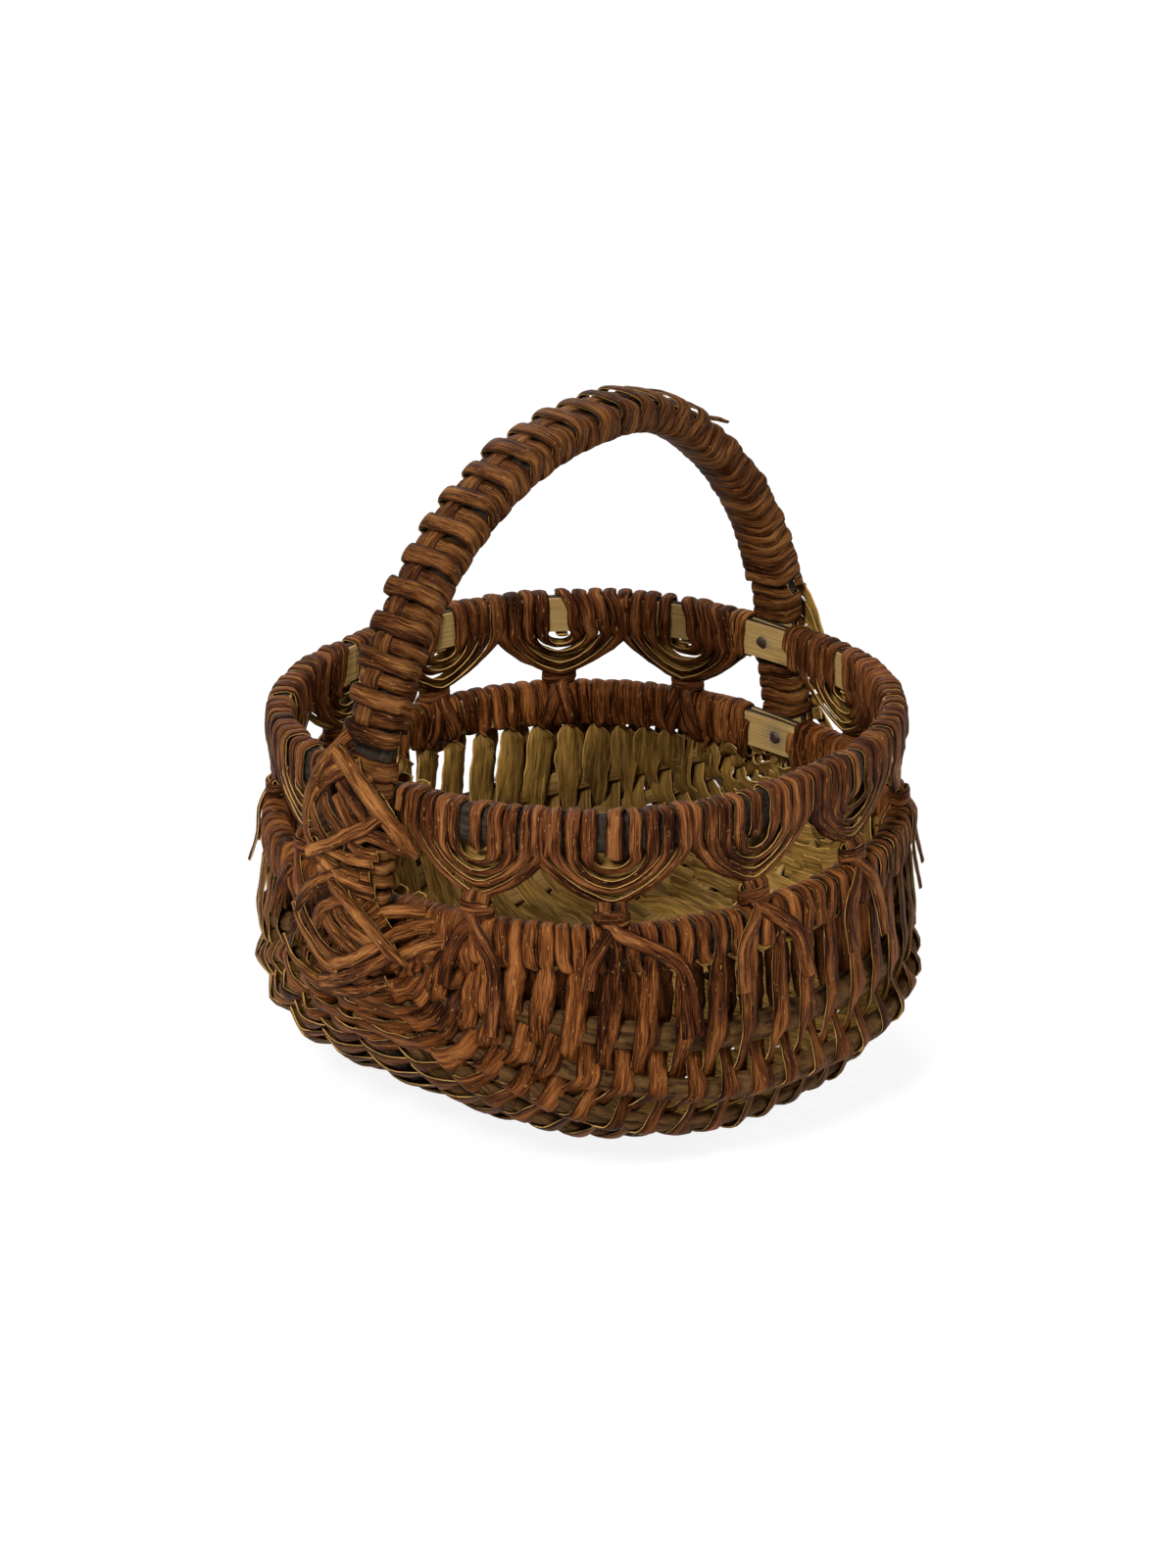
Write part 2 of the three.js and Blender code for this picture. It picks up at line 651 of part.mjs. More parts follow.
const bowRadius = (bowHalfSpan + bowRise) / 2;
const listedRun = Math.PI - ladderStartAngle - ladderEndAngle - wrapGapAngle;
const plainRun = ladderEndAngle - wrapGapAngle - ladderStartAngle;
const listedStep = listedRun / (listedTurns + climbShares[0]);
const plainStep = plainRun / (plainTurns + climbShares[0]);
const listedAngle = (turn) => Math.PI - ladderStartAngle - (turn + 0.5) * listedStep;
const plainAngle = (turn) => ladderStartAngle + (turn + 0.5) * plainStep;
const listedLift = (turn) => (turn % 2 === 0 ? listingThickness + seatGap : 0);
addWinding('handle_listed_wrap', listedTurns, (turn) => bowFrame(listedAngle(turn)),
  bowRadius * listedStep, listedLift);
addWinding('handle_plain_wrap', plainTurns, (turn) => bowFrame(plainAngle(turn)),
  bowRadius * plainStep);

// The listing strip lies on the outer face, under the even turns and over the odd ones
const listingHalfRun = (bowRadius * listedStep - windingGap / 2) / 2 / bowRadius;
const listingStations = [];
for (let turn = 0; turn < listedTurns; turn += 1) {
  const over = turn % 2 === 0 ? 0 : skeinThickness + seatGap;
  for (const part of [1, -1]) {
    const frame = bowFrame(listedAngle(turn) + part * listingHalfRun);
    const level = handleThickness / 2 + seatGap + over + listingThickness / 2;
    const at = frame.at.clone().addScaledVector(frame.out, level);
    at.y += handleWidth * listingOffsetShare / 2;
    listingStations.push({
      at, out: frame.out, halfWidth: listingWidth / 2, halfThickness: listingThickness / 2,
    });
  }
}
addPiece('handle_listing_strip', sweep(listingStations, ribbonShares), skeinBark);

// Foot wraps bind the legs between the two rims
const footRun = rimSpacing - rimRodHeight - 2 * skeinThickness;
const footPitch = footRun / (footTurns + climbShares[0]);
for (const [name, end] of [['foot_wrap_left', -1], ['foot_wrap_right', 1]]) {
  const frameAt = (turn) => {
    const height = rimSpacing / 2 + footPitch * (turn - (footTurns - 1 + climbShares[0]) / 2);
    return legFrame(end, height / rimSpacing);
  };
  addWinding(name, footTurns, frameAt, footPitch);
}

// Eye lashings: a ribbon winds out in a diamond over each crossing of handle and rim
const eyeFlat = handleWidth / 2;

// A place on the handle at a height above the lower rim, on the leg or on the foot of the bow
function footFrame(end, height) {
  if (height <= rimSpacing) return legFrame(end, Math.max(height, 0) / rimSpacing);
  const angle = Math.asin((height - rimSpacing) / bowRise);
  return bowFrame(end > 0 ? angle : Math.PI - angle);
}

function eyeStations(end, level) {
  const stations = [];
  const face = handleThickness / 2 + 2 * seatGap + 1.5 * skeinThickness;
  const quarters = eyeTurns * 4;
  const reachAt = (quarter) => eyeInnerReach + eyeTurnStep * quarter / 4;
  const cornerAt = (quarter) => {
    const turn = quarter * Math.PI / 2;
    return new THREE.Vector2(Math.sin(turn), Math.cos(turn)).multiplyScalar(reachAt(quarter));
  };
  for (let quarter = 0; quarter < quarters; quarter += 1) {
    const [from, to] = [cornerAt(quarter), cornerAt(quarter + 1)];
    for (const part of [0, 0.5]) {
      const place = from.clone().lerp(to, part);
      const dip = Math.max(0, Math.abs(place.x) - eyeFlat) * eyeDipShare;
      const frame = footFrame(end, level + place.y);
      const at = frame.at.clone().addScaledVector(frame.out, face - dip);
      at.y += place.x;
      at.z = lowerRimHeight + level + place.y;
      const halfWidth = eyeRibbonWidth / 2;
      stations.push({ at, out: frame.out, halfWidth, halfThickness: skeinThickness / 2 });
    }
  }
  return stations;
}
for (const [name, end, level] of [
  ['eye_lashing_upper_left', -1, rimSpacing], ['eye_lashing_upper_right', 1, rimSpacing],
  ['eye_lashing_lower_left', -1, 0], ['eye_lashing_lower_right', 1, 0],
]) {
  addPiece(name, sweep(eyeStations(end, level), ribbonShares), paleSplit);
}

export default basket;
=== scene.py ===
# %% [markdown]
# A ribbed berry basket, dressed in Blender
#
# The basket is a frame of bent rods, woven with long flat strips of bark-on willow, which basket makers call
# skeins. Almost everything that the eye sees is one such strip, bent over and under something. So this lesson
# builds one good strip tool first, and then every part of the basket is a route for it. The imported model
# gives the true places of the rods, and all lengths here are in metres.

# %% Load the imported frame
import math

import bpy
import numpy as np
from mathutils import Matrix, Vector


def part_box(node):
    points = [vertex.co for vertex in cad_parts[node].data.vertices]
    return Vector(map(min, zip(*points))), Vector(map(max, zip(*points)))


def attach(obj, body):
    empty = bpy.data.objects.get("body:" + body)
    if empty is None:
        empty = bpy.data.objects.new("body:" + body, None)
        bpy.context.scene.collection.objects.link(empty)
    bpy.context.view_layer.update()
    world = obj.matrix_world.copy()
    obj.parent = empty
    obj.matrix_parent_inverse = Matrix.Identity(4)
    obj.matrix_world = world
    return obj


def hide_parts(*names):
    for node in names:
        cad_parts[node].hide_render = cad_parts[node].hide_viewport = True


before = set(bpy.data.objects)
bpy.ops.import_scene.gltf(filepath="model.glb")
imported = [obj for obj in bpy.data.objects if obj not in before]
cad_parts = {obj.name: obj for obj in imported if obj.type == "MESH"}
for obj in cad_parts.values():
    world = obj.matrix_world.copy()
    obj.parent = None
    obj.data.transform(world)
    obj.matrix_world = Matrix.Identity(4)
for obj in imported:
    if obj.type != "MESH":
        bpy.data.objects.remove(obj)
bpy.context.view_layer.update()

print("frame nodes:", len(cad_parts))

# %% [markdown]
# Sections of rods and strips
#
# Two round hoops, a handle hoop and ten ribs carry the weave. Only their sections are written here, because
# the box of a bent rod doesn't tell how thick the rod is.

# %% Sections of rods and strips
rod_height = 0.0142
rod_thickness = 0.007
handle_width = 0.020
handle_thickness = 0.006
keel_width = 0.012
rib_width = 0.011
rib_thickness = 0.006
seat = 0.0003
skein_width = 0.0058
skein_thickness = 0.0013
print(f"a skein is {1000 * skein_width:.1f} mm wide and {1000 * skein_thickness:.1f} mm thick")

# %% [markdown]
# Places of the rods
#
# Typing the places again would be easy to get wrong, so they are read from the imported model. The middle lines
# of the hoops, the rise of the bow and the depth of the bowl follow from a few boxes.

# %% Measure the rods
upper_low, upper_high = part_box("upper_rim_hoop")
lower_low, lower_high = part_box("lower_rim_hoop")
handle_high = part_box("handle_hoop")[1]
rim_half = upper_high.x - rod_thickness / 2
lower_half = lower_high.x - rod_thickness / 2
upper_level = (upper_low.z + upper_high.z) / 2
lower_level = (lower_low.z + lower_high.z) / 2
rim_spacing = upper_level - lower_level
bow_half = rim_half + rod_thickness / 2 + seat + handle_thickness / 2
keel_half = handle_high.x - handle_thickness / 2
bow_rise = handle_high.z - handle_thickness / 2 - upper_level
bowl_depth = lower_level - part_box("rib_05")[0].z - rib_thickness / 2
print(f"rim {2000 * rim_half:.0f} mm across, bow rise {1000 * bow_rise:.0f} mm")
print(f"bowl {1000 * bowl_depth:.0f} mm deep")

# %% [markdown]
# The bowl's form
#
# A surface from two angles, one from foot to foot and one from rim to rim, places every rib and strip.
# Superellipse powers make it boxier than a sphere, as the real bowl is, and a sampled grid or a sculpt could
# do the same, but a formula stays smooth wherever a strip asks for a point. The ribs stand at five angles on
# each side, and the keel lies between them.

# %% Numbers of the bowl
plan_squareness = 2.35
end_squareness = 3.0
cross_squareness = 2.92
bulge_share = 0.15
keel_kick = 0.09
kick_sharpness = 8
quarter = math.pi / 2
rib_angles = quarter * np.array([0.165, 0.33, 0.51, 0.69, 0.855])
crossings = np.concatenate([rib_angles, [quarter], math.pi - rib_angles[::-1]])
keel_place = len(rib_angles)
print("ribs and keel at", np.round(np.degrees(crossings)), "degrees")

# %% [markdown]
# A point of the bowl
#
# No hand-made basket is true. The far side of the lower hoop rides a few millimetres high, the bottom has
# settled sideways, and one side swells. A bend modifier could do this to the finished mesh, but then the
# strips would be stretched, so the leaning is part of the formula.

# %% Bowl formula
up = np.array([0.0, 0.0, 1.0])
bottom_shift = np.array([-0.0030, 0.0028, 0.0])
wide_way = np.array([0.67, -0.74, 0.0])
side_swell = 0.0055
far_side = np.array([0.74, 0.67, 0.0])
far_rise = 0.0044
middle_rise = 0.4
belly_drop = 1.5
small_step = 0.002


def signed_power(value, exponent):
    return np.sign(value) * np.abs(value) ** exponent


def unit(vector):
    return vector / np.linalg.norm(vector, axis=-1, keepdims=True)


def eased(share):
    return share * share * (3 - 2 * share)


def depth_share(around):
    rise = math.sin(around) ** (2 / cross_squareness)
    return rise * (1 - keel_kick * math.sin(around) ** kick_sharpness)


deepest_share = depth_share(rib_angles[-1])


def rim_sag(point):
    share = middle_rise + (1 - middle_rise) * (point @ far_side) / lower_half
    return far_rise * eased(np.clip(share, 0, 1))


def bowl_point(along, around):
    reach = lower_half + (keel_half - lower_half) * math.sin(around)
    spread = math.sin(along) ** (2 / plan_squareness)
    drop = math.sin(along) ** (2 / end_squareness)
    bulge = 1 + bulge_share * math.sin(2 * around) ** 2
    width = lower_half * signed_power(math.cos(around), 2 / cross_squareness) * bulge
    sunk = depth_share(around) / deepest_share * drop
    point = np.array([
        reach * signed_power(math.cos(along), 2 / plan_squareness),
        width * spread,
        lower_level - bowl_depth * sunk,
    ])
    belly = math.sin(math.pi * min(sunk, 1.0) ** belly_drop) ** 2
    swell = side_swell * max(0.0, point @ wide_way) / lower_half * belly
    return point + bottom_shift * sunk + wide_way * swell + up * rim_sag(point) * (1 - sunk)


def bowl_slope(along, around, along_step, around_step):
    ahead = bowl_point(along + along_step, around + around_step)
    return ahead - bowl_point(along - along_step, around - around_step)


def bowl_normal(along, around):
    normal = np.cross(bowl_slope(along, around, 0, small_step), bowl_slope(along, around, small_step, 0))
    inward = np.array([0, 0, lower_level]) - bowl_point(along, around)
    return unit(-np.sign(normal @ inward) * normal)


print("bowl bottom at", np.round(1000 * bowl_point(quarter, rib_angles[-1]), 1), "mm")

# %% [markdown]
# Courses
#
# A course is one passage of the strip from rim to rim. The weaver lays strip beside strip, so the courses are
# nearly even along the middle of each side, and they pack closer round the feet, where the ribs meet. Lengths
# along one side rib, weighted so that the feet count for more, give that spacing. Beside the legs the turns
# on the hoop start a little further out, where the lashings leave room.

# %% Even courses
course_count = 66
courses_per_strand = 11
first_course = math.radians(2.6)
foot_clear = math.radians(5.2)
foot_packing = 1.0
foot_reach = 0.04
beside = 9


def run_along(points):
    return np.append(0, np.cumsum(np.linalg.norm(np.diff(points, axis=0), axis=1)))


def even_courses():
    angles = np.linspace(first_course, math.pi - first_course, 600)
    lengths = run_along(np.array([bowl_point(angle, rib_angles[2]) for angle in angles]))
    to_foot = np.minimum(lengths, lengths[-1] - lengths)
    density = 1 + foot_packing * np.exp(-to_foot / foot_reach)
    crowd = np.append(0, np.cumsum(density[1:] * np.diff(lengths)))
    return np.interp(np.linspace(0, crowd[-1], course_count), crowd, angles), lengths[-1]


course_angles, middle_length = even_courses()
rim_angles = course_angles.copy()
rim_angles[:beside] = np.linspace(foot_clear, course_angles[beside], beside, endpoint=False)
rim_angles[-beside:] = math.pi - rim_angles[:beside][::-1]
course_pitch = middle_length / (course_count - 1)
print(f"{course_count} courses, {1000 * course_pitch:.1f} mm apart on the middle rib")

# %% [markdown]
# Routes of the hoops
#
# A hoop's route is a ring in plan. Each route returns a middle point with its side and outward directions, so
# that a strip can be wound round it later. A curve object could hold the same line, but it would have to be
# sampled again for every strip.

# %% Routes of the hoops
def rim_place(half, level, angle):
    power = 2 / plan_squareness
    c, s = math.cos(angle), math.sin(angle)
    middle = np.array([half * signed_power(c, power), half * signed_power(s, power), level])
    out = unit(np.array([signed_power(c, 2 - power), signed_power(s, 2 - power), 0.0]))
    return middle, up, out


def plan_angle(direction):
    power = plan_squareness / 2
    c, s = math.cos(direction), math.sin(direction)
    return math.atan2(signed_power(s, power), signed_power(c, power))


def upper_place(direction):
    return rim_place(rim_half, upper_level, plan_angle(direction))


def lower_ring(angle):
    middle, side, out = rim_place(lower_half, lower_level, angle)
    return middle + up * rim_sag(middle), side, out


def lower_place(direction):
    return lower_ring(plan_angle(direction))


print("upper rim at foot:", np.round(1000 * upper_place(0)[0], 1), "mm")

# %% [markdown]
# Routes of bow, legs and ribs
#
# The bow is half an ellipse that leans a little to one side, and its legs run past both hoops. The ribs and
# the keel follow the bowl, and they get narrower where they crowd together at the feet.

# %% Routes of bow, legs and ribs
crosswise = np.array([0.0, 1.0, 0.0])
bow_lean = 0.0045
bow_sway = 0.0036
rib_crowd = 0.24
keel_crowd = 0.32
rib_step = math.pi / (2 * len(rib_angles) + 2)


def bow_place(angle):
    c, s = math.cos(angle), math.sin(angle)
    lean = bow_lean * eased(np.clip(2 * c, 0, 1)) + 4 * bow_sway * max(c, 0) * (1 - c)
    middle = np.array([bow_half * c, lean, upper_level + bow_rise * s])
    out = unit(np.array([c / bow_half, 0.0, s / bow_rise]))
    return middle, crosswise, out


def leg_place(end, height):
    share = height / rim_spacing
    x = end * (keel_half + (bow_half - keel_half) * share)
    lean = bow_lean * max(end, 0) * np.clip(share, 0, 1)
    return np.array([x, lean, lower_level + height]), crosswise, np.array([end, 0.0, 0.0])


def wood_at(along, place):
    crowd = np.linalg.norm(bowl_slope(along, crossings[place], 0, rib_step / 2))
    if place == keel_place:
        return min(keel_width / 2, keel_crowd * crowd), handle_thickness / 2
    half_width = min(rib_width / 2, rib_crowd * crowd)
    return half_width, rib_thickness / 2 * math.sqrt(2 * half_width / rib_width)


print("top of the bow:", np.round(1000 * bow_place(quarter)[0], 1), "mm")

# %% [markdown]
# The strip tool
#
# A skein is a thin strip, domed and brown on its bark side, flat and pale on its split side. A curve with a
# bevel would make a tube of one section, but it can't say which face is bark, so the strip is built as rings
# of nine points along a smooth route. Each row of the section gives a point's place across, its height, and
# how near it is to the split side. Real strips are never quite even, so their widths wander.

# %% Strip section
rng = np.random.default_rng(7)
# The third column also drives painted shade: its small values on the bark side, highest at the edges, darken
# the bark towards each edge, where neighbouring strips shade each other.
strip_section = np.array([
    (-1, -0.25, 0.3), (-0.74, 0.5, 0.1), (-0.3, 0.94, 0), (0.3, 0.94, 0), (0.74, 0.5, 0.1), (1, -0.25, 0.3),
    (0.93, -1, 1), (0, -0.9, 1), (-0.93, -1, 1),
])
wave_parts = (1.0, 0.43, 0.19)
wave_height = 1.8


def wander(run, amount, length):
    total = 0
    for part in wave_parts:
        total = total + np.sin(2 * math.pi * run / (length * part) + rng.uniform(0, 2 * math.pi))
    return amount * total / wave_height


print("strip section points:", len(strip_section))

# %% [markdown]
# Smooth routes
#
# A key of a route holds a point, the direction in which the bark faces, a share of the width, and a lean
# about the route. Between keys the path is a cubic whose slopes follow the neighbours, because straight steps
# would show as kinks in every bend. Blender's own curves would smooth the points, but not the bark's turns.

# %% Smooth route
def key(point, out, share=1.0, lean=0.0):
    return (*point, *out, share, lean)


def smooth_route(keys, step):
    keys = np.array(keys)
    points = keys[:, :3]
    gaps = np.linalg.norm(np.diff(points, axis=0), axis=1) + 1e-7
    speed = np.diff(points, axis=0) / gaps[:, None]
    before, after = gaps[:-1, None], gaps[1:, None]
    inner = (speed[:-1] * after + speed[1:] * before) / (before + after)
    slopes = np.vstack([speed[:1], inner, speed[-1:]])
    counts = np.maximum(2, np.ceil(gaps / step).astype(int))
    places = np.append(np.concatenate([i + np.arange(n) / n for i, n in enumerate(counts)]), len(gaps))
    i = np.minimum(places.astype(int), len(gaps) - 1)
    s = (places - i)[:, None]
    h = gaps[i][:, None]
    path = (2 * s**3 - 3 * s**2 + 1) * points[i] + (s**3 - 2 * s**2 + s) * h * slopes[i]
    path += (3 * s**2 - 2 * s**3) * points[i + 1] + (s**3 - s**2) * h * slopes[i + 1]
    blend = eased(s)
    rest = (1 - blend) * keys[i, 3:] + blend * keys[i + 1, 3:]
    return path, rest[:, :3], rest[:, 3], rest[:, 4]


arch = [key((x, 0.0, height), up) for x, height in ((0.0, 0.0), (0.02, 0.01), (0.04, 0.0))]
print("a small arch gets", len(smooth_route(arch, 0.003)[0]), "points")

# %% [markdown]
# The strip itself
#
# Along the smooth path each ring turns so that its bark side faces out. Rods are swept in the same way later,
# with fuller sections. Every point keeps how far along the strip it lies, where it lies across it, and how
# near it is to the split side, and the finishes read these values. Nothing goes below the ground, so the
# strips under the keel are pressed flat there.

# %% Strip tool
width_change, width_wave = 0.07, 0.05
sway, sway_wave = 0.00018, 0.04
thickness_change, thickness_wave = 0.12, 0.03
tip_share = 0.25


def swept(path, sides, outs, halves, thicks, section, run, across):
    a, o, split = section.T
    rings = path[:, None] + sides[:, None] * (halves[:, None] * a)[..., None]
    rings = rings + outs[:, None] * (thicks[:, None] * o)[..., None]
    rings[..., 2] = np.maximum(rings[..., 2], 0.0)
    grain = np.empty(rings.shape)
    grain[..., 0] = (run + rng.uniform(0, 5))[:, None]
    grain[..., 1] = across
    grain[..., 2] = rng.uniform()
    return {"rings": rings, "grain": grain, "split": np.broadcast_to(split, rings.shape[:2])}


def strip(keys, width=skein_width, step=0.003, ends=(0.0, 0.0)):
    path, out, share, lean = smooth_route(keys, step)
    travel = unit(np.gradient(path, axis=0))
    out = unit(out - np.sum(out * travel, axis=1, keepdims=True) * travel)
    across = np.cross(travel, out)
    turn, tilt = np.cos(lean)[:, None], np.sin(lean)[:, None]
    out, across = out * turn + across * tilt, across * turn - out * tilt
    run = run_along(path)
    half = width / 2 * share * (1 + wander(run, width_change, width_wave))
    for tip, length in ((run, ends[0]), (run[-1] - run, ends[1])):
        if length:
            half = half * np.clip(tip_share + (1 - tip_share) * tip / length, tip_share, 1)
    path = path + across * wander(run, sway, sway_wave)[:, None]
    thick = skein_thickness / 2 * (1 + wander(run, thickness_change, thickness_wave))
    return swept(path, across, out, half, thick, strip_section, run, half[:, None] * strip_section[:, 0])


print("widest strip section:", round(1000 * skein_width * np.ptp(strip_section[:, 0]) / 2, 1), "mm")

# %% [markdown]
# From strips to pieces
#
# Some pieces have many strips, such as an eye, and eleven courses of the weave are one long strip. A mesh for
# each piece keeps the scene light, where an object for each strip would not. The values along the strip
# become attributes of the mesh.

# %% Mesh of a piece
sharp_angle = math.radians(55)


def add_object(name, data):
    obj = bpy.data.objects.new(name, data)
    bpy.context.scene.collection.objects.link(obj)
    return obj


def point_values(mesh, name, kind, field, values):
    mesh.attributes.new(name, kind, "POINT").data.foreach_set(field, np.ravel(values).astype(float))


def mesh_piece(name, strips, closed=False):
    verts, faces, grain, split = [], [], [], []
    start = 0
    for part in strips:
        rings = part["rings"]
        count, sides = rings.shape[:2]
        ids = start + np.arange(count * sides).reshape(count, sides)
        rows = ids if not closed else np.vstack([ids, ids[:1]])
        a, b = rows[:-1], rows[1:]
        quads = np.stack([a, np.roll(a, -1, 1), np.roll(b, -1, 1), b], axis=-1).reshape(-1, 4)
        faces.extend(quads.tolist())
        if not closed:
            faces.append(ids[0][::-1].tolist())
            faces.append(ids[-1].tolist())
        verts.append(rings.reshape(-1, 3))
        grain.append(part["grain"].reshape(-1, 3))
        split.append(np.ravel(part["split"]))
        start += count * sides
    mesh = bpy.data.meshes.new(name)
    mesh.from_pydata(np.concatenate(verts).tolist(), [], faces)
    point_values(mesh, "grain", "FLOAT_VECTOR", "vector", np.concatenate(grain))
    point_values(mesh, "split", "FLOAT", "value", np.concatenate(split))
    mesh.validate()
    mesh.shade_smooth()
    mesh.set_sharp_from_angle(angle=sharp_angle)
    return add_object(name, mesh)


print("values kept in a mesh:", "grain", "split")

# %% [markdown]
# Pieces in the frame
#
# Each piece rides on the basket's one body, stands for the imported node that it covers, and names the slot of
# the record that its finish comes from. One table of finishes, with a row for each slot, dresses them all.

# %% Piece maker
pieces = []
finishes = {}


def place_piece(obj, nodes, slot):
    obj.data.materials.append(finishes[slot])
    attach(obj, "root")
    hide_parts(*nodes)
    pieces.append(obj)


def strip_piece(name, strips, nodes, slot):
    obj = mesh_piece(name, strips)
    print(f"{name}: {len(strips)} strips, {len(obj.data.polygons)} faces")
    place_piece(obj, nodes, slot)


print("pieces so far:", len(pieces))

# %% [markdown]
# Nodes of a finish
#
# A finish is a small tree of nodes. It could be wired by hand in the shader editor, but all the finishes
# share most of their nodes, so short helpers write them. An input takes a value or another node's output.

# %% Node helper
def shader(name):
    material = bpy.data.materials.new(name)
    material.use_nodes = True
    return material, material.node_tree, material.node_tree.nodes["Principled BSDF"]


def set_inputs(tree, node, values):
    for name, value in values.items():
        socket = node.inputs[name]
        if isinstance(value, bpy.types.NodeSocket):
            tree.links.new(value, socket)
        else:
            socket.default_value = (*value, 1) if socket.type == "RGBA" else value


def add(tree, kind, values=None, **settings):
    node = tree.nodes.new(kind)
    for setting, value in settings.items():
        setattr(node, setting, value)
    set_inputs(tree, node, values or {})
    return node


def maths(tree, operation, first, second):
    return add(tree, "ShaderNodeMath", {0: first, 1: second}, operation=operation).outputs[0]


def weighted(tree, *shares):
    total = 0.0
    for value, share in shares:
        total = maths(tree, "ADD", total, maths(tree, "MULTIPLY", value, share))
    return total


print("materials before the first finish:", len(bpy.data.materials))

# %% [markdown]
# Noise and colour
#
# Noise gives the streaks, and a ramp turns them into colours. The values kept in the mesh stretch the noise
# along each strip, so a streak follows it round every bend, where a pattern fixed in space would cut through.

# %% Noise and colour
black, white = (0, 0, 0), (1, 1, 1)


def attribute(tree, name, output="Fac"):
    return add(tree, "ShaderNodeAttribute", attribute_name=name).outputs[output]


def noise(tree, vector, scale, detail, roughness):
    values = {"Vector": vector, "Scale": scale, "Detail": detail, "Roughness": roughness}
    return add(tree, "ShaderNodeTexNoise", values).outputs["Fac"]


def grain_noise(tree, grain, stretch, detail, roughness):
    stretched = add(tree, "ShaderNodeVectorMath", {0: grain, 1: stretch}, operation="MULTIPLY")
    return noise(tree, stretched.outputs[0], 1.0, detail, roughness)


def ramp(tree, factor, *stops):
    node = add(tree, "ShaderNodeValToRGB", {0: factor})
    elements = node.color_ramp.elements
    while len(elements) < len(stops):
        elements.new(0.5)
    for element, (position, colour) in zip(elements, stops):
        element.position = position
        element.color = (*colour, 1)
    return node.outputs[0]


def mix(tree, factor, first, second, blend="MIX"):
    values = {0: factor, 6: first, 7: second}
    return add(tree, "ShaderNodeMix", values, data_type="RGBA", blend_type=blend).outputs[2]


def bump(tree, height, strength, depth):
    return add(tree, "ShaderNodeBump", {"Strength": strength, "Distance": depth, "Height": height}).outputs[0]


print("ramps run from", black, "to", white)

# %% [markdown]
# Finish of the skeins
#
# Dry willow bark is red-brown with dark bands and long fine streaks, its edges show pale yellow where the
# strip was split, and its inner side is tan wood. Painting by hand would need textures, so stretched noise
# draws the streaks, and the split value draws the pale faces. Near the edges the split value also darkens
# the bark, which is painted shade for the crevices between strips.

# %% Skein bark
split_edge = (0.58, 0.33, 0.1)
worn_edge = (0.4, 0.21, 0.062)
wood_colour = (0.38, 0.213, 0.05)
wood_shadow = (0.08, 0.042, 0.009)


def skein_material(name, dark, middle, warm, edge):
    material, tree, surface = shader(name)
    grain, split = attribute(tree, "grain", "Vector"), attribute(tree, "split")
    streaks = grain_noise(tree, grain, (110, 2600, 40), 4.0, 0.6)
    patches = grain_noise(tree, grain, (45, 420, 60), 3.0, 0.6)
    flecks = grain_noise(tree, grain, (380, 1500, 90), 2.0, 0.5)
    mood = grain_noise(tree, grain, (19, 30, 80), 1.0, 0.5)
    tone = weighted(tree, (streaks, 0.45), (patches, 0.33), (mood, 0.22))
    bark = ramp(tree, tone, (0.43, dark), (0.505, middle), (0.6, warm))
    worn = ramp(tree, flecks, (0.66, black), (0.74, (0.6, 0.6, 0.6)))
    # Painted shade: the bark darkens towards each edge of a strip, in place of the shadow in the crevices
    # between strips.
    painted_edge_shade = ramp(tree, split, (0.02, white), (0.13, (0.66, 0.62, 0.58)), (0.29, (0.1, 0.07, 0.05)))
    bark = mix(tree, 1.0, mix(tree, worn, bark, edge), painted_edge_shade, "MULTIPLY")
    inside = ramp(tree, tone, (0.44, wood_shadow), (0.6, wood_colour))
    rough_edge = weighted(tree, (split, 1.0), (maths(tree, "SUBTRACT", streaks, 0.5), 0.8))
    pale = ramp(tree, rough_edge, (0.4, black), (0.5, white))
    wood_share = ramp(tree, split, (0.93, black), (0.99, white))
    set_inputs(tree, surface, {
        "Base Color": mix(tree, pale, bark, mix(tree, wood_share, edge, inside)),
        "Roughness": ramp(tree, tone, (0.3, (0.42, 0.42, 0.42)), (0.7, (0.62, 0.62, 0.62))),
        "Specular IOR Level": 0.03,
        "Normal": bump(tree, tone, 0.5, 0.0003),
    })
    return material


bark_tones = {
    "weave bark": ((0.012, 0.003, 0.0008), (0.118, 0.034, 0.0076), (0.34, 0.124, 0.033), split_edge),
    "gallery bark": ((0.012, 0.003, 0.0009), (0.094, 0.027, 0.0076), (0.29, 0.112, 0.035), split_edge),
    "handle bark": ((0.013, 0.0036, 0.001), (0.088, 0.0285, 0.0076), (0.25, 0.106, 0.03), worn_edge),
    "eye bark": ((0.015, 0.004, 0.0011), (0.12, 0.037, 0.0095), (0.38, 0.155, 0.042), split_edge),
}
skein_slots = ("weaver_bark", "gallery_skein", "handle_skein", "eye_skein")
for slot, (name, tones) in zip(skein_slots, bark_tones.items()):
    finishes[slot] = skein_material(name, *tones)
print("skein finishes:", len(finishes))

# %% [markdown]
# Finish of the rods
#
# The hoops keep a nearly black bark outside and show their pale split face inside. The ribs are mottled
# grey-brown sticks with small lighter pores. Iron nails have rusted dark, and the wood round them is stained.

# %% Rod finishes
nail_stain = (0.06, 0.075, 0.085)


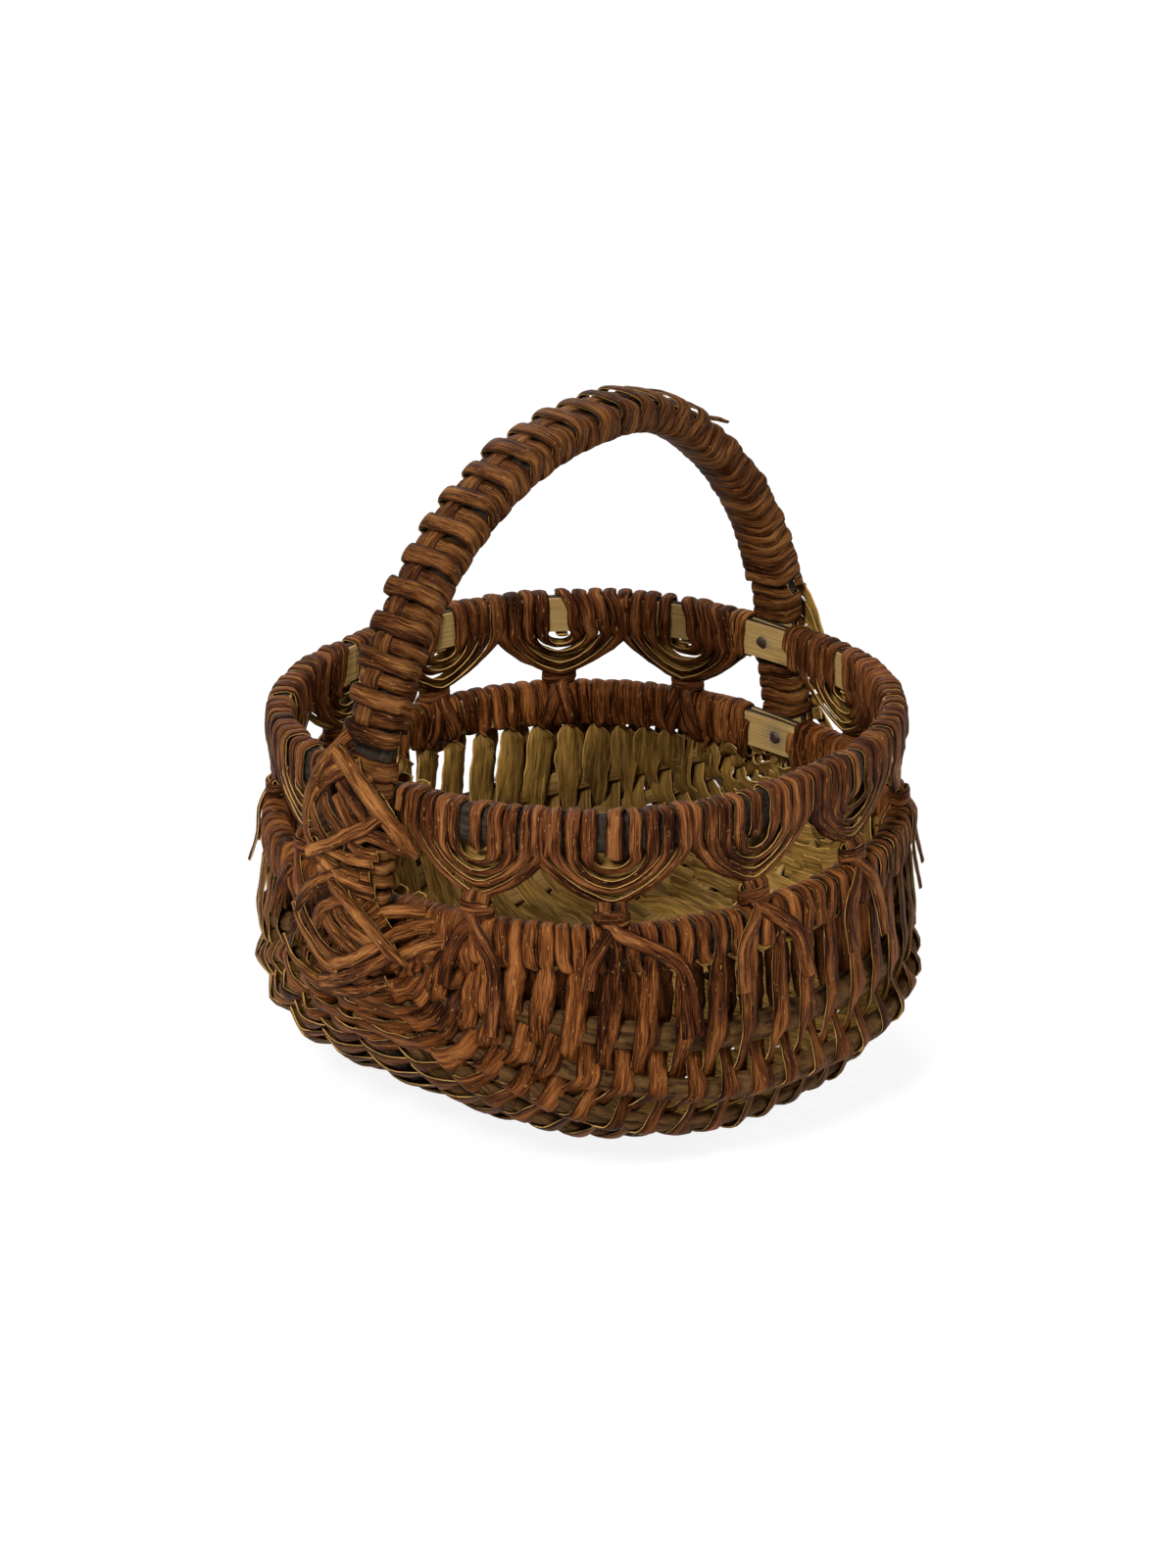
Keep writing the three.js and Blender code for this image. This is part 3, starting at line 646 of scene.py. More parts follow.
def rod_material(name, dark, light, wood, wood_dark, depth):
    material, tree, surface = shader(name)
    grain, split = attribute(tree, "grain", "Vector"), attribute(tree, "split")
    mottle = grain_noise(tree, grain, (130, 420, 50), 5.0, 0.65)
    lines = grain_noise(tree, grain, (25, 1300, 50), 3.0, 0.6)
    bark = ramp(tree, mottle, (0.36, dark), (0.62, light))
    inside = ramp(tree, lines, (0.3, wood_dark), (0.6, wood))
    colour = mix(tree, ramp(tree, split, (0.45, black), (0.55, white)), bark, inside)
    set_inputs(tree, surface, {
        "Base Color": mix(tree, attribute(tree, "stain"), colour, nail_stain),
        "Roughness": 0.72,
        "Specular IOR Level": 0.05,
        "Normal": bump(tree, weighted(tree, (mottle, 1.0), (lines, 0.4)), 0.6, depth),
    })
    return material


finishes["hoop_bark"] = rod_material("hoop bark", (0.012, 0.009, 0.007), (0.055, 0.038, 0.026),
                                     (0.46, 0.3, 0.11), (0.29, 0.17, 0.055), 0.0006)
finishes["rib_bark"] = rod_material("rib bark", (0.02, 0.009, 0.0035), (0.125, 0.062, 0.02),
                                    (0.34, 0.2, 0.06), (0.12, 0.064, 0.018), 0.0009)
finishes["old_iron"], iron_tree, iron_surface = shader("old iron")
iron_rust = noise(iron_tree, add(iron_tree, "ShaderNodeTexCoord").outputs["Object"], 1800, 4.0, 0.55)
iron_colour = ramp(iron_tree, iron_rust, (0.4, (0.02, 0.017, 0.016)), (0.65, (0.09, 0.045, 0.028)))
set_inputs(iron_tree, iron_surface, {"Base Color": iron_colour, "Metallic": 0.6, "Roughness": 0.55})
print("finishes:", ", ".join(finishes))

# %% [markdown]
# Rods
#
# A rod is the same idea as a strip with a fuller section: half-round for the hoops and the handle, oval for
# the ribs. Its rings follow the route, and small swellings and knots keep it from looking machined. A
# cylinder with a bend modifier would be quicker, but too even.

# %% Rod tool
half_round = np.array([
    (-0.94, -1, 1), (-0.5, -1, 1), (0, -1, 1), (0.5, -1, 1), (0.94, -1, 1), (1, -0.6, 0), (1, 0.05, 0),
    (0.88, 0.55, 0), (0.55, 0.9, 0), (0, 1, 0), (-0.55, 0.9, 0), (-0.88, 0.55, 0), (-1, 0.05, 0),
    (-1, -0.6, 0),
])
oval = np.array([
    (-0.8, -0.85, 1), (0, -0.95, 1), (0.8, -0.85, 1), (1, -0.4, 0), (1, 0.15, 0), (0.82, 0.6, 0),
    (0.45, 0.9, 0), (0, 1, 0), (-0.45, 0.9, 0), (-0.82, 0.6, 0), (-1, 0.15, 0), (-1, -0.4, 0),
])
swell_wave = 0.09
knot_length = 0.004


def rod(middles, sides, outs, half_widths, half_thicks, section, swell=0.0, knots=()):
    middles, sides, outs = (np.array(v) for v in (middles, sides, outs))
    run = run_along(middles)
    size = 1 + wander(run, swell, swell_wave)
    for place, height in knots:
        size = size + height * np.exp(-((run - place * run[-1]) / knot_length) ** 2)
    girth = np.cumsum(np.hypot(*np.diff(section[:, :2], axis=0, prepend=section[:1, :2]).T))
    return swept(middles, sides, outs, half_widths * size, half_thicks * size, section, run,
                 np.mean(half_widths) * girth)


print("half-round section:", len(half_round), "points, oval:", len(oval))

# %% [markdown]
# Rim hoops
#
# Each hoop is one split rod, bent to a ring, whose ends are shaved thin and lie on each other where the nail
# goes through. A plain ring would be simpler, but the lap and the stain round the nail show on the pale face.

# %% Rim hoops with their lapped ends
nail_offsets = {"upper": 0.004, "lower": -0.001}
lap_length = 0.040
lap_tip = 0.12
hoop_rings = 260


def upper_ring(angle):
    return rim_place(rim_half, upper_level, angle)


def nail_place(level_name, half, ring_place):
    angle = math.asin(signed_power(nail_offsets[level_name] / half, plan_squareness / 2))
    return angle, ring_place(angle)


def lapped_hoop(half, ring_place, middle_lap):
    lap = lap_length / half
    angles = np.linspace(middle_lap - lap / 2, middle_lap + 2 * math.pi + lap / 2, hoop_rings)
    first = np.clip((angles - angles[0]) / lap, 0, 1) * (1 - lap_tip) + lap_tip
    last = np.clip((angles[-1] - angles) / lap, 0, 1) * (1 - lap_tip) + lap_tip
    places = [ring_place(angle) for angle in angles]
    outs = np.array([out for _, _, out in places])
    middles = np.array([middle for middle, _, _ in places])
    middles = middles + outs * (rod_thickness / 2 * (first - last))[:, None]
    thicks = rod_thickness / 2 * np.minimum(first, last)
    return rod(middles, [up] * len(angles), outs, rod_height / 2, thicks, half_round)


rims = (("upper", rim_half, upper_ring, 0.004), ("lower", lower_half, lower_ring, 0.0085))
for level_name, half, ring_place, reach in rims:
    angle, (middle, _, out) = nail_place(level_name, half, ring_place)
    hoop = mesh_piece(f"{level_name}_rim_rod", [lapped_hoop(half, ring_place, angle)])
    points = np.array([v.co for v in hoop.data.vertices])
    distance = np.linalg.norm(points - (middle - out * rod_thickness / 2), axis=1)
    point_values(hoop.data, "stain", "FLOAT", "value", np.clip(1 - distance / reach, 0, 1) ** 2)
    place_piece(hoop, [f"{level_name}_rim_hoop"], "hoop_bark")
    print(hoop.name, len(hoop.data.polygons), "faces")

# %% [markdown]
# Nails
#
# One nail holds each lap. Its head is hammered flat against the pale face. A turned profile gives the head
# and the shank in one mesh, and a slight wobble of the radius makes it hand-hammered.

# %% Nail heads
nail_outline = ((0.0002, -0.0010), (0.0011, -0.0010), (0.0019, -0.0008), (0.0023, -0.0003), (0.0021, 0.0),
                (0.0009, 0.0004), (0.0009, 0.004), (0.0003, 0.0065))
nail_turns = np.linspace(0, 2 * math.pi, 21)[:-1]
dents, dent_depth, dent_phase = 3, 0.07, 900
for level_name, half, ring_place, _ in rims:
    _, (middle, side, out) = nail_place(level_name, half, ring_place)
    across = np.cross(side, out)
    rings = []
    for radius, depth in nail_outline:
        wobble = radius * (1 + dent_depth * np.sin(dents * nail_turns + half * dent_phase))
        ring_middle = middle - out * (rod_thickness / 2 + seat) + out * depth
        rings.append(ring_middle + np.outer(wobble * np.cos(nail_turns), across)
                     + np.outer(wobble * np.sin(nail_turns), side))
    rings = np.array(rings)
    nail_head = {"rings": rings, "grain": rings, "split": np.zeros(rings.shape[:2])}
    nail = mesh_piece(f"nail_{level_name}", [nail_head])
    place_piece(nail, [f"rim_nail_{level_name}"], "old_iron")
print("nails:", len(rims))

# %% [markdown]
# Handle hoop
#
# The handle runs over the top, down both legs and under the bowl as the keel. It is mostly hidden by its
# wraps, but it must be there behind every gap. One closed rod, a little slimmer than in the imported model,
# leaves room for the wraps.

# %% Handle rod
narrow = 0.0009
leg_heights = (0.0, 0.015, 0.03)


def handle_rod():
    slim = handle_width / 2 - narrow
    places = [(*bow_place(angle), slim, handle_thickness / 2) for angle in np.linspace(0, math.pi, 61)]
    places += [(*leg_place(-1, height), slim, handle_thickness / 2) for height in leg_heights[::-1]]
    for along in np.linspace(math.pi - first_course, first_course, 60):
        place = (bowl_point(along, quarter), crosswise, bowl_normal(along, quarter))
        places.append((*place, *wood_at(along, keel_place)))
    places += [(*leg_place(1, height), slim, handle_thickness / 2) for height in leg_heights]
    return rod(*(np.array(v) for v in zip(*places)), half_round)


handle = mesh_piece("handle_rod", [handle_rod()], closed=True)
place_piece(handle, ["handle_hoop"], "hoop_bark")
print(handle.name, len(handle.data.polygons), "faces")

# %% [markdown]
# Ribs
#
# Ten sticks spring from the lower eyes and taper to points there. Each has a few knots, drawn at random,
# because a row of equal sticks would look turned on a lathe.

# %% Ribs
rib_tip = math.radians(7.5)
rib_slim, rib_swell = 0.97, 0.05
knots_per_rib = 3
knot_places, knot_heights = (0.2, 0.8), (0.08, 0.18)
rib_places = [place for place in range(len(crossings)) if place != keel_place]
rib_alongs = np.linspace(rib_tip, math.pi - rib_tip, 110)
for number, place in enumerate(rib_places, 1):
    wood = np.array([wood_at(along, place) for along in rib_alongs])
    outs = np.array([bowl_normal(along, crossings[place]) for along in rib_alongs])
    middles = np.array([bowl_point(along, crossings[place]) for along in rib_alongs])
    sides = np.cross(outs, unit(np.gradient(middles, axis=0)))
    knots = [(rng.uniform(*knot_places), rng.uniform(*knot_heights)) for _ in range(knots_per_rib)]
    rib_rod = rod(middles, sides, outs, wood[:, 0] * rib_slim, wood[:, 1], oval, rib_swell, knots)
    rib = mesh_piece(f"rib_rod_{number:02d}", [rib_rod])
    place_piece(rib, [f"rib_{number:02d}"], "rib_bark")
print("ribs:", len(rib_places))

# %% [markdown]
# Winding round a rod
#
# A strip that binds a rod goes round a rounded rectangle a little larger than the rod's section. The angle is
# 0 on the outer face, a quarter turn on top, and half a turn on the inner face.

# %% Ring of a binding
binding_squareness = 4.0


def ring(place, angle, half_side, half_out, lift):
    middle, side, out = place
    c, s = math.cos(angle), math.sin(angle)
    power = 2 / binding_squareness
    reach_out, reach_side = half_out + lift, half_side + lift
    point = middle + out * reach_out * signed_power(c, power) + side * reach_side * signed_power(s, power)
    facing = out * signed_power(c, 2 - power) / reach_out + side * signed_power(s, 2 - power) / reach_side
    return point, unit(facing)


def rod_ring(place, angle, lift):
    return ring(place, angle, rod_height / 2, rod_thickness / 2, seat + skein_thickness / 2 + lift)


print("top of a binding:", np.round(1000 * rod_ring(lower_ring(0.0), quarter, 0.0)[0], 1), "mm")

# %% [markdown]
# Over and under
#
# Each course goes over one rib and under the next, and the next course does the opposite. Only round the
# feet, where the ribs lie too close for that, it passes two ribs on one side and one on the other. A strip
# could be laid on the bowl's surface, but it would cut the ribs, so it is lifted by half the rib and half its
# own thickness.

# %% Keys of a course
mid_lean, mid_lean_change = 0.46, 0.08
foot_courses = 12
rib_shares = (1.2, 1.52)
room_gain = 1.6
room_limits = (0.75, 1.12)
course_drift = 0.0006
course_tilt = (0.1, 0.1)


def side_of(course, place):
    if course >= course_count - foot_courses:
        return -1 if (course + place) % 3 == 0 and place != keel_place else 1
    if course < foot_courses and place != keel_place:
        return 1 if (course + place) % 3 == 0 else -1
    return 1 if (course + place) % 2 == 0 else -1


def course_room(course, around):
    low, high = max(course - 1, 0), min(course + 1, course_count - 1)
    ends = [bowl_point(course_angles[c], around) for c in (low, high)]
    return np.linalg.norm(ends[1] - ends[0]) / (high - low)


def course_keys(course, forward):
    along = course_angles[course]
    hand = 1 if forward else -1
    keys = []
    for place in range(len(crossings))[::hand]:
        around = crossings[place]
        out = bowl_normal(along, around)
        drift = unit(bowl_slope(along, around, small_step, 0)) * rng.normal(0, course_drift)
        lift = side_of(course, place) * (wood_at(along, place)[1] + seat + skein_thickness / 2)
        room = course_room(course, around) / skein_width
        share = rng.uniform(*rib_shares) * np.clip(room * room_gain, *room_limits)
        point = bowl_point(along, around) + out * lift + drift
        keys.append(key(point, out, share, rng.normal(*course_tilt) * hand))
    woven = keys[:1]
    for here, there in zip(keys, keys[1:]):
        middle = (np.array(here) + np.array(there)) / 2
        middle[6:] = min(here[6], there[6]), (mid_lean + rng.normal(0, mid_lean_change)) * hand
        woven += [tuple(middle), there]
    return woven


print("sides of a course:", *(side_of(course_count // 2, place) for place in range(len(crossings))))

# %% [markdown]
# Turns on the hoop
#
# At the rim the strip winds nearly twice round the lower hoop before it turns back. It keeps its place for
# the first part of a winding, then moves over to the next course, as a hand lays it.

# %% Turns on the hoop
turn_steps = 22
turn_parts = (0.0, 0.071, 0.357, 0.643, 0.929, 1.0)
turn_moves = (-0.1, -0.1, 0.1, 0.9, 1.1, 1.1)
turn_ends = {1: (1.25, -2.25), -1: (-0.25, 3.25)}
turn_shares = (0.88, 1.1)
turn_lean = 0.07
turn_lift = 0.0004


def rim_turn_keys(course, mirror):
    here = rim_angles[course]
    there = rim_angles[course + 1] if course + 1 < course_count else 2 * here - rim_angles[course - 1]
    share, lean = rng.uniform(*turn_shares), rng.normal(0, turn_lean)
    start, end = turn_ends[mirror]
    keys = []
    for part in np.arange(turn_steps + 1) / turn_steps:
        moved = np.interp(part, turn_parts, turn_moves)
        place = lower_ring(mirror * (here + (there - here) * moved))
        point, facing = rod_ring(place, math.pi * (start + (end - start) * part), rng.uniform(0, turn_lift))
        keys.append(key(point, facing, share, lean))
    return keys


print("half turns on the hoop:", *(abs(end - start) for start, end in turn_ends.values()))

# %% [markdown]
# From hoop to rib
#
# A strip that leaves the hoop's outer face runs straight on over the first rib. One that leaves its inner
# face gets half a twist on the way to the rib's inner side, so that the bark faces out again and the pale
# side faces the berries. Without the twist the strip would fold over on itself.

# %% Links between hoop and rib
least_twist = 0.014
twist_steps = ((0.06, 1.1, 0.0), (0.2, 1.8, 0.1), (0.62, 1.95, 0.16))
straight_steps = (0.18, 0.62)
straight_share, straight_lean = 1.5, 0.16
lengthwise = np.array([1.0, 0.0, 0.0])


def twist_keys(rim_key, rib_key):
    start, end = np.array(rim_key[:3]), np.array(rib_key[:3])
    if np.linalg.norm(end - start) < least_twist:
        return []
    faces = (lengthwise, rib_key[3:6], rib_key[3:6])
    return [key(start + (end - start) * part, face, share, lean)
            for face, (part, share, lean) in zip(faces, twist_steps)]


def straight_keys(rim_key, rib_key):
    start, end = np.array(rim_key), np.array(rib_key)
    middles = [start + (end - start) * part for part in straight_steps]
    return [key(middle[:3], unit(middle[3:6]), straight_share, straight_lean) for middle in middles]


print("keys of a twist:", len(twist_steps), "of a straight link:", len(straight_steps))

# %% [markdown]
# The weave
#
# The route of the weave is one long list of keys, back and forth from rim to rim, which is then cut into six
# pieces. Six separate strips would need six loose ends, and the basket shows none there.

# %% Weave pieces
weave_keys, cuts = [], [0]
for course in range(course_count):
    forward = course % 2 == 0
    woven = course_keys(course, forward)
    turn = rim_turn_keys(course, -1 if forward else 1)
    link_keys = straight_keys if forward else twist_keys
    if weave_keys:
        weave_keys += link_keys(weave_keys[-1], woven[0])
    weave_keys += woven + link_keys(turn[0], woven[-1])[::-1] + turn
    if (course + 1) % courses_per_strand == 0:
        cuts.append(len(weave_keys) - 1)
for number, (start, end) in enumerate(zip(cuts, cuts[1:]), 1):
    weave_strip = strip(weave_keys[max(start - 2, 0):end + 1])
    strip_piece(f"weave_{number:02d}", [weave_strip], [f"weaver_{number:02d}"], "weaver_bark")

# %% [markdown]
# Hanging bows
#
# Each scallop of the gallery is one strip that hangs in bows from the upper hoop. Flat on the hoop, it turns
# nearly on edge in the bows, which is where the pale split edges show. A superellipse gives each bow its
# shape: pointed for the long outer bows, round for the short inner ones.

# %% Hanging bow
first_scallop = math.radians(22)
scallops_per_side = 6
scallop_step = (math.pi - 2 * first_scallop) / (scallops_per_side - 1)
gallery_width = 0.0055
edge_leans = {1: math.radians(50), -1: math.radians(30)}
bow_hold = 0.0012
bow_closing = 0.55
bow_narrowing = 0.32
bow_part, bow_keys = (0.06, 0.94), 11
edge_ease = 0.7


def hanging_bow(direction, travel, face, reach, drop, squareness):
    keys = []
    for t in math.pi * np.linspace(*bow_part, bow_keys):
        sag = math.sin(t)
        offset = -travel * reach * signed_power(math.cos(t), 2 / squareness)
        middle, side, out = upper_place(direction + offset / rim_half)
        level = -rod_height / 2 + bow_hold - drop * sag ** (2 / squareness)
        radial = face * (rod_thickness / 2 + skein_thickness) * (1 - bow_closing * sag)
        away = -travel * math.cos(t) * np.cross(side, out) - sag * up
        lean = quarter + (edge_leans[face] - quarter) * sag ** edge_ease
        facing = face * out * math.sin(lean) + away * math.cos(lean)
        keys.append(key(middle + out * radial + up * level, facing, 1 - bow_narrowing * sag))
    return keys


print("scallops are", round(math.degrees(scallop_step), 1), "degrees apart")

# %% [markdown]
# Scallops
#
# The strip is wound in front and behind: down the outer face, across in a hanging bow, up the other side,
# over the hoop, and back across behind. Four bows hang inside each other, and the last turn ends on the hoop.

# %% Scallop route
scallop_bows = ((0.0236, 0.0196, 1.4), (0.0182, 0.0159, 1.55), (0.0129, 0.0120, 1.85), (0.0074, 0.0076, 2.3))
rim_turn = (-0.12, 1.12)
last_turn = -0.62
last_reach = 0.0006
rim_steps, shift_steps = 9, 4
rim_lift, rim_shares, rim_lean = 0.0007, (0.84, 1.12), 0.09
reach_change = 0.0004
start_gap, back_raise = 0.002, 0.0012


def over_rim(direction, offset, next_offset, start, end):
    keys = []
    lift, share, lean = rng.uniform(0, rim_lift), rng.uniform(*rim_shares), rng.normal(0, rim_lean)
    for i, turn in enumerate(np.linspace(start, end, rim_steps)):
        shift = offset + (next_offset - offset) * min((i + 1) / shift_steps, 1)
        place = upper_place(direction + shift / rim_half)
        point, facing = rod_ring(place, math.pi * turn, lift)
        keys.append(key(point, facing, share, lean))
    return keys


def scallop_keys(direction):
    travel = 1 if rng.uniform() < 0.5 else -1
    low, high = rim_turn
    widest = scallop_bows[0][0]
    keys = over_rim(direction, -travel * (widest + start_gap), -travel * widest, high, low)
    inner_reaches = [reach for reach, _, _ in scallop_bows[1:]] + [last_reach]
    ends = [low] * (len(scallop_bows) - 1) + [last_turn]
    for (reach, drop, squareness), inner, end in zip(scallop_bows, inner_reaches, ends):
        jitter = rng.normal(0, reach_change, 4)
        front, back = reach + jitter[0], reach + jitter[1]
        keys += hanging_bow(direction, travel, 1, front, drop + jitter[2], squareness)
        keys += over_rim(direction, travel * front, travel * back, low, high)
        keys += hanging_bow(direction, -travel, -1, back, drop - back_raise + jitter[3], squareness)
        keys += over_rim(direction, -travel * back, -travel * inner, high, end)
    return keys


print("bows in front of a scallop:", len(scallop_bows))

# %% [markdown]
# Knots between the hoops
#
# Two short strips hook over the lowest bow, cross on the lower hoop, and leave their tails outside. A collar
# of two turns draws them into a narrow neck. Three tails on the near side hang longer than the rest.

# %% Knot route
neck_half = 0.0050
neck_depth = 0.0024
neck_share = 0.95
collar_gap = 0.0012
collar_turns = 2.15
collar_share = 0.62
collar_steps = 25
collar_low, collar_height = 0.0024, 0.0038
hook_room, foot_room, face_room = 0.0022, 0.0004, 0.0022
tail_spreads = (0.007, 0.0105)
tail_lengths = (0.003, 0.014)
layer_gap = 0.0007
long_tails = {9: (0.015, 0.014, 1.1), 10: (0.023, 0.024, 1.5), 11: (0.008, 0.025, 1.2)}


def knot_strips(direction, bow_drop, long_tail):
    middle, side, out = lower_place(direction)
    tangent = np.cross(side, out)
    top = upper_level - middle[2] - rod_height / 2 - bow_drop + hook_room
    foot = rod_height / 2 + foot_room
    face = rod_thickness / 2 + face_room

    def at(sideways, radial, height):
        return middle + tangent * sideways + out * radial + up * height

    strips = []
    for hand in (1, -1):
        spread = rng.uniform(*tail_spreads) * hand
        tail, flare = rng.uniform(*tail_lengths), 1.0
        layer = layer_gap if hand > 0 else 0.0
        if long_tail and hand > 0:
            spread, tail, flare = long_tail
        keys = [
            key(at(spread * 1.25, face + 0.0030 + layer, -foot - tail), out + 0.3 * up, flare),
            key(at(spread, face + layer, -foot * 0.5), out),
            key(at(spread * 0.45, face + layer, foot * 0.5), out),
            key(at(-hand * 0.0020, neck_depth + layer, foot + 0.0035), out, neck_share),
            key(at(-hand * 0.0027, neck_depth - 0.0004, top - 0.003), out, neck_share),
            key(at(-hand * 0.0027, 0.0, top), up, neck_share),
            key(at(-hand * 0.0026, -neck_depth, top - 0.003), -out, neck_share),
            key(at(-hand * 0.0016, -neck_depth - layer, foot + 0.003), -out, neck_share),
            key(at(-spread * 0.3, -face - layer, foot * 0.4), -out),
            key(at(-spread * 0.6, -face - layer, -foot * 0.7), -out),
            key(at(-spread * 0.7, -face + 0.003, -foot - 0.002), -out),
        ]
        strips.append(strip(keys, ends=(0.0, 0.004)))
    keys = []
    for part in np.arange(collar_steps + 1) / collar_steps:
        t = collar_turns * 2 * math.pi * part
        height = foot + collar_low + collar_height * part
        point = at((neck_half + collar_gap) * math.sin(t), (neck_depth + collar_gap) * math.cos(t), height)
        facing = tangent * math.sin(t) / neck_half + out * math.cos(t) / neck_depth
        keys.append(key(point, unit(facing), collar_share))
    strips.append(strip(keys, ends=(0.003, 0.003)))
    return strips


print("knots with a long tail:", [index + 1 for index in long_tails])

# %% [markdown]
# Places of the scallops
#
# Six scallops hang on each long side. They are spaced by eye on the real basket, so each one has its own
# small drift along the rim instead of an exact step.

# %% Gallery pieces
scallop_drifts = (0, -0.003, -0.0045, -0.0045, -0.003, 0, 0, 0, -0.003, -0.004, -0.005, 0)
for index, drift in enumerate(scallop_drifts):
    mirror = 1 if index < scallops_per_side else -1
    direction = mirror * (first_scallop + scallop_step * (index % scallops_per_side)) + drift / rim_half
    number = f"{index + 1:02d}"
    scallop = strip(scallop_keys(direction), width=gallery_width)
    strip_piece(f"gallery_skein_{number}", [scallop], [f"gallery_loop_{number}"], "gallery_skein")
    knot = knot_strips(direction, scallop_bows[0][1], long_tails.get(index))
    strip_piece(f"gallery_knot_{number}", knot, [f"gallery_tie_{number}"], "gallery_skein")

# %% [markdown]
# Winding the handle
#
# A winding is one long strip that goes round and round. Each turn gets its own lift, width and slant, because
# a hand never lays two turns alike. An array modifier would repeat the same turn.

# %% Winding tool
winding_steps = 14
turn_tilts = (0.4, 1.6)
turn_slant = 0.05
side_lift = 0.3


def winding_keys(turns, place_at, lift_at, share_at=lambda turn: 1.0, lean=0.0,
                 outer=handle_thickness / 2, inner=handle_thickness / 2):
    keys = []
    for turn in range(turns):
        lift, share, tilt = lift_at(turn), share_at(turn), rng.uniform(*turn_tilts)
        slant = rng.normal(0, turn_slant)
        half_side = handle_width / 2 - narrow + side_lift * lift
        for part in np.arange(winding_steps) / winding_steps:
            around = 2 * math.pi * part - quarter
            behind = np.clip((part - 0.5) * 2, 0, 1)
            front_lift = lift * max(0.0, math.cos(around)) ** 0.5
            place = place_at(turn + behind + slant * math.sin(around))
            half_out = outer if math.cos(around) > 0 else inner
            point, facing = ring(place, around, half_side, half_out, seat + skein_thickness / 2 + front_lift)
            keys.append(key(point, facing, share, lean * tilt))
    return keys


print("keys in a turn:", winding_steps)

# %% [markdown]
# The wrapped bow
#
# One half of the bow is listed: a flat strip lies along it, and the winding passes over it and under it in
# turn, which gives a ladder of raised bands. The other half is wound plainly, each turn lapping the last.

# %% Bow windings
ladder_start = math.radians(11.5)
ladder_end = math.radians(54)
listed_turns = 36
plain_turns = 18
listed_step = (math.pi - ladder_start - ladder_end) / listed_turns
plain_step = (ladder_end - ladder_start) / plain_turns
listing_room, padding = 0.0010, 0.0030
listed_out = handle_thickness / 2 + listing_room
padded_in = handle_thickness / 2 + padding
high_lifts = (0.0017, 0.0026)
high_shares, low_shares = (1.08, 1.3), (0.95, 1.05)
plain_lifts, plain_shares, plain_lean = (0.0, 0.0013), (1.0, 1.3), -0.16
listed_cover, plain_cover = 0.96, 1.12
bow_radius = (bow_half + bow_rise) / 2


def listed_place(turn):
    return bow_place(math.pi - ladder_start - (turn + 0.5) * listed_step)


def plain_place(turn):
    return bow_place(ladder_start + (turn + 0.5) * plain_step)


def listed_lift(turn):
    return rng.uniform(*high_lifts) if turn % 2 == 0 else 0.0


def listed_share(turn):
    return rng.uniform(*(high_shares if turn % 2 == 0 else low_shares))


listed_keys = winding_keys(listed_turns, listed_place, listed_lift, listed_share,
                           outer=listed_out, inner=padded_in)
plain_keys = winding_keys(plain_turns, plain_place, lambda turn: rng.uniform(*plain_lifts),
                          lambda turn: rng.uniform(*plain_shares), lean=plain_lean, inner=padded_in)
strip_piece("handle_ladder_winding", [strip(listed_keys, width=bow_radius * listed_step * listed_cover)],
            ["handle_listed_wrap"], "handle_skein")
strip_piece("handle_plain_winding", [strip(plain_keys, width=bow_radius * plain_step * plain_cover)],
            ["handle_plain_wrap"], "handle_skein")

# %% [markdown]
# The listing strip
#
# The flat strip of the ladder lies a little to one side. It rises over the low turns and dips under the high
# ones, and past the last turn its narrow end has sprung loose.

# %% Listing strip with its loose end
listing_width = 0.0076
listing_shift = 0.0026
listing_press = 0.0002
end_curl, loose_tip = 0.3, 0.004
loose_end = ((0.2, 0.0072, 0.6), (1.4, 0.0105, 0.3), (2.4, 0.0128, 0.26))
listing_keys = []
for turn in range(listed_turns):
    middle, side, out = listed_place(turn)
    rise = listing_press if turn % 2 == 0 else skein_thickness - listing_press
    level = listed_out + seat + rise + skein_thickness / 2
    listing_keys.append(key(middle + out * level + side * listing_shift, out))
for turn, height, share in loose_end:
    middle, side, out = listed_place(listed_turns + turn)
    listing_keys.append(key(middle + out * height + side * listing_shift, out, share, end_curl * turn))
strip_piece("handle_listing", [strip(listing_keys, width=listing_width, ends=(0.0, loose_tip))],
            ["handle_listing_strip"], "handle_skein")

# %% [markdown]
# Legs
#
# Between the hoops each leg is bound with a few turns, and a few more close the neck between the upper eye
# and the wrapped bow. The winding tool serves for both, so only the places change.

# %% Leg bindings
leg_turns = 5
leg_clear = 0.0005
leg_low = rod_height / 2 + leg_clear
leg_pitch = (rim_spacing - 2 * leg_low) / leg_turns
leg_lift, leg_cover = 0.0004, 0.98
neck_start = math.radians(3.6)
neck_back = 0.1
for name, end, neck_turns in (("left", -1, 2), ("right", 1, 3)):
    leg_keys = winding_keys(leg_turns, lambda turn: leg_place(end, leg_low + leg_pitch * (turn + 0.5)),
                            lambda turn: rng.uniform(0, leg_lift))
    neck_step = (ladder_start - neck_start) / neck_turns
    neck_keys = winding_keys(neck_turns, lambda turn: bow_place(
        quarter - end * quarter + end * (neck_start + (turn - neck_back) * neck_step)), lambda turn: 0.0)
    leg_strip = strip(leg_keys, width=leg_pitch * leg_cover)
    neck_strip = strip(neck_keys, width=bow_radius * neck_step)
    strip_piece(f"leg_binding_{name}", [leg_strip, neck_strip], [f"foot_wrap_{name}"], "handle_skein")

# %% [markdown]
# Eyes
#
# Over each crossing of leg and hoop sits an eye: a strip goes from arm to arm in growing diamonds, each turn
# leaning on the one before, and a broad strip crosses on top. Each ribbon is written here in millimetres, as
# its width, its lift, and its places sideways and up from the middle of the eye.

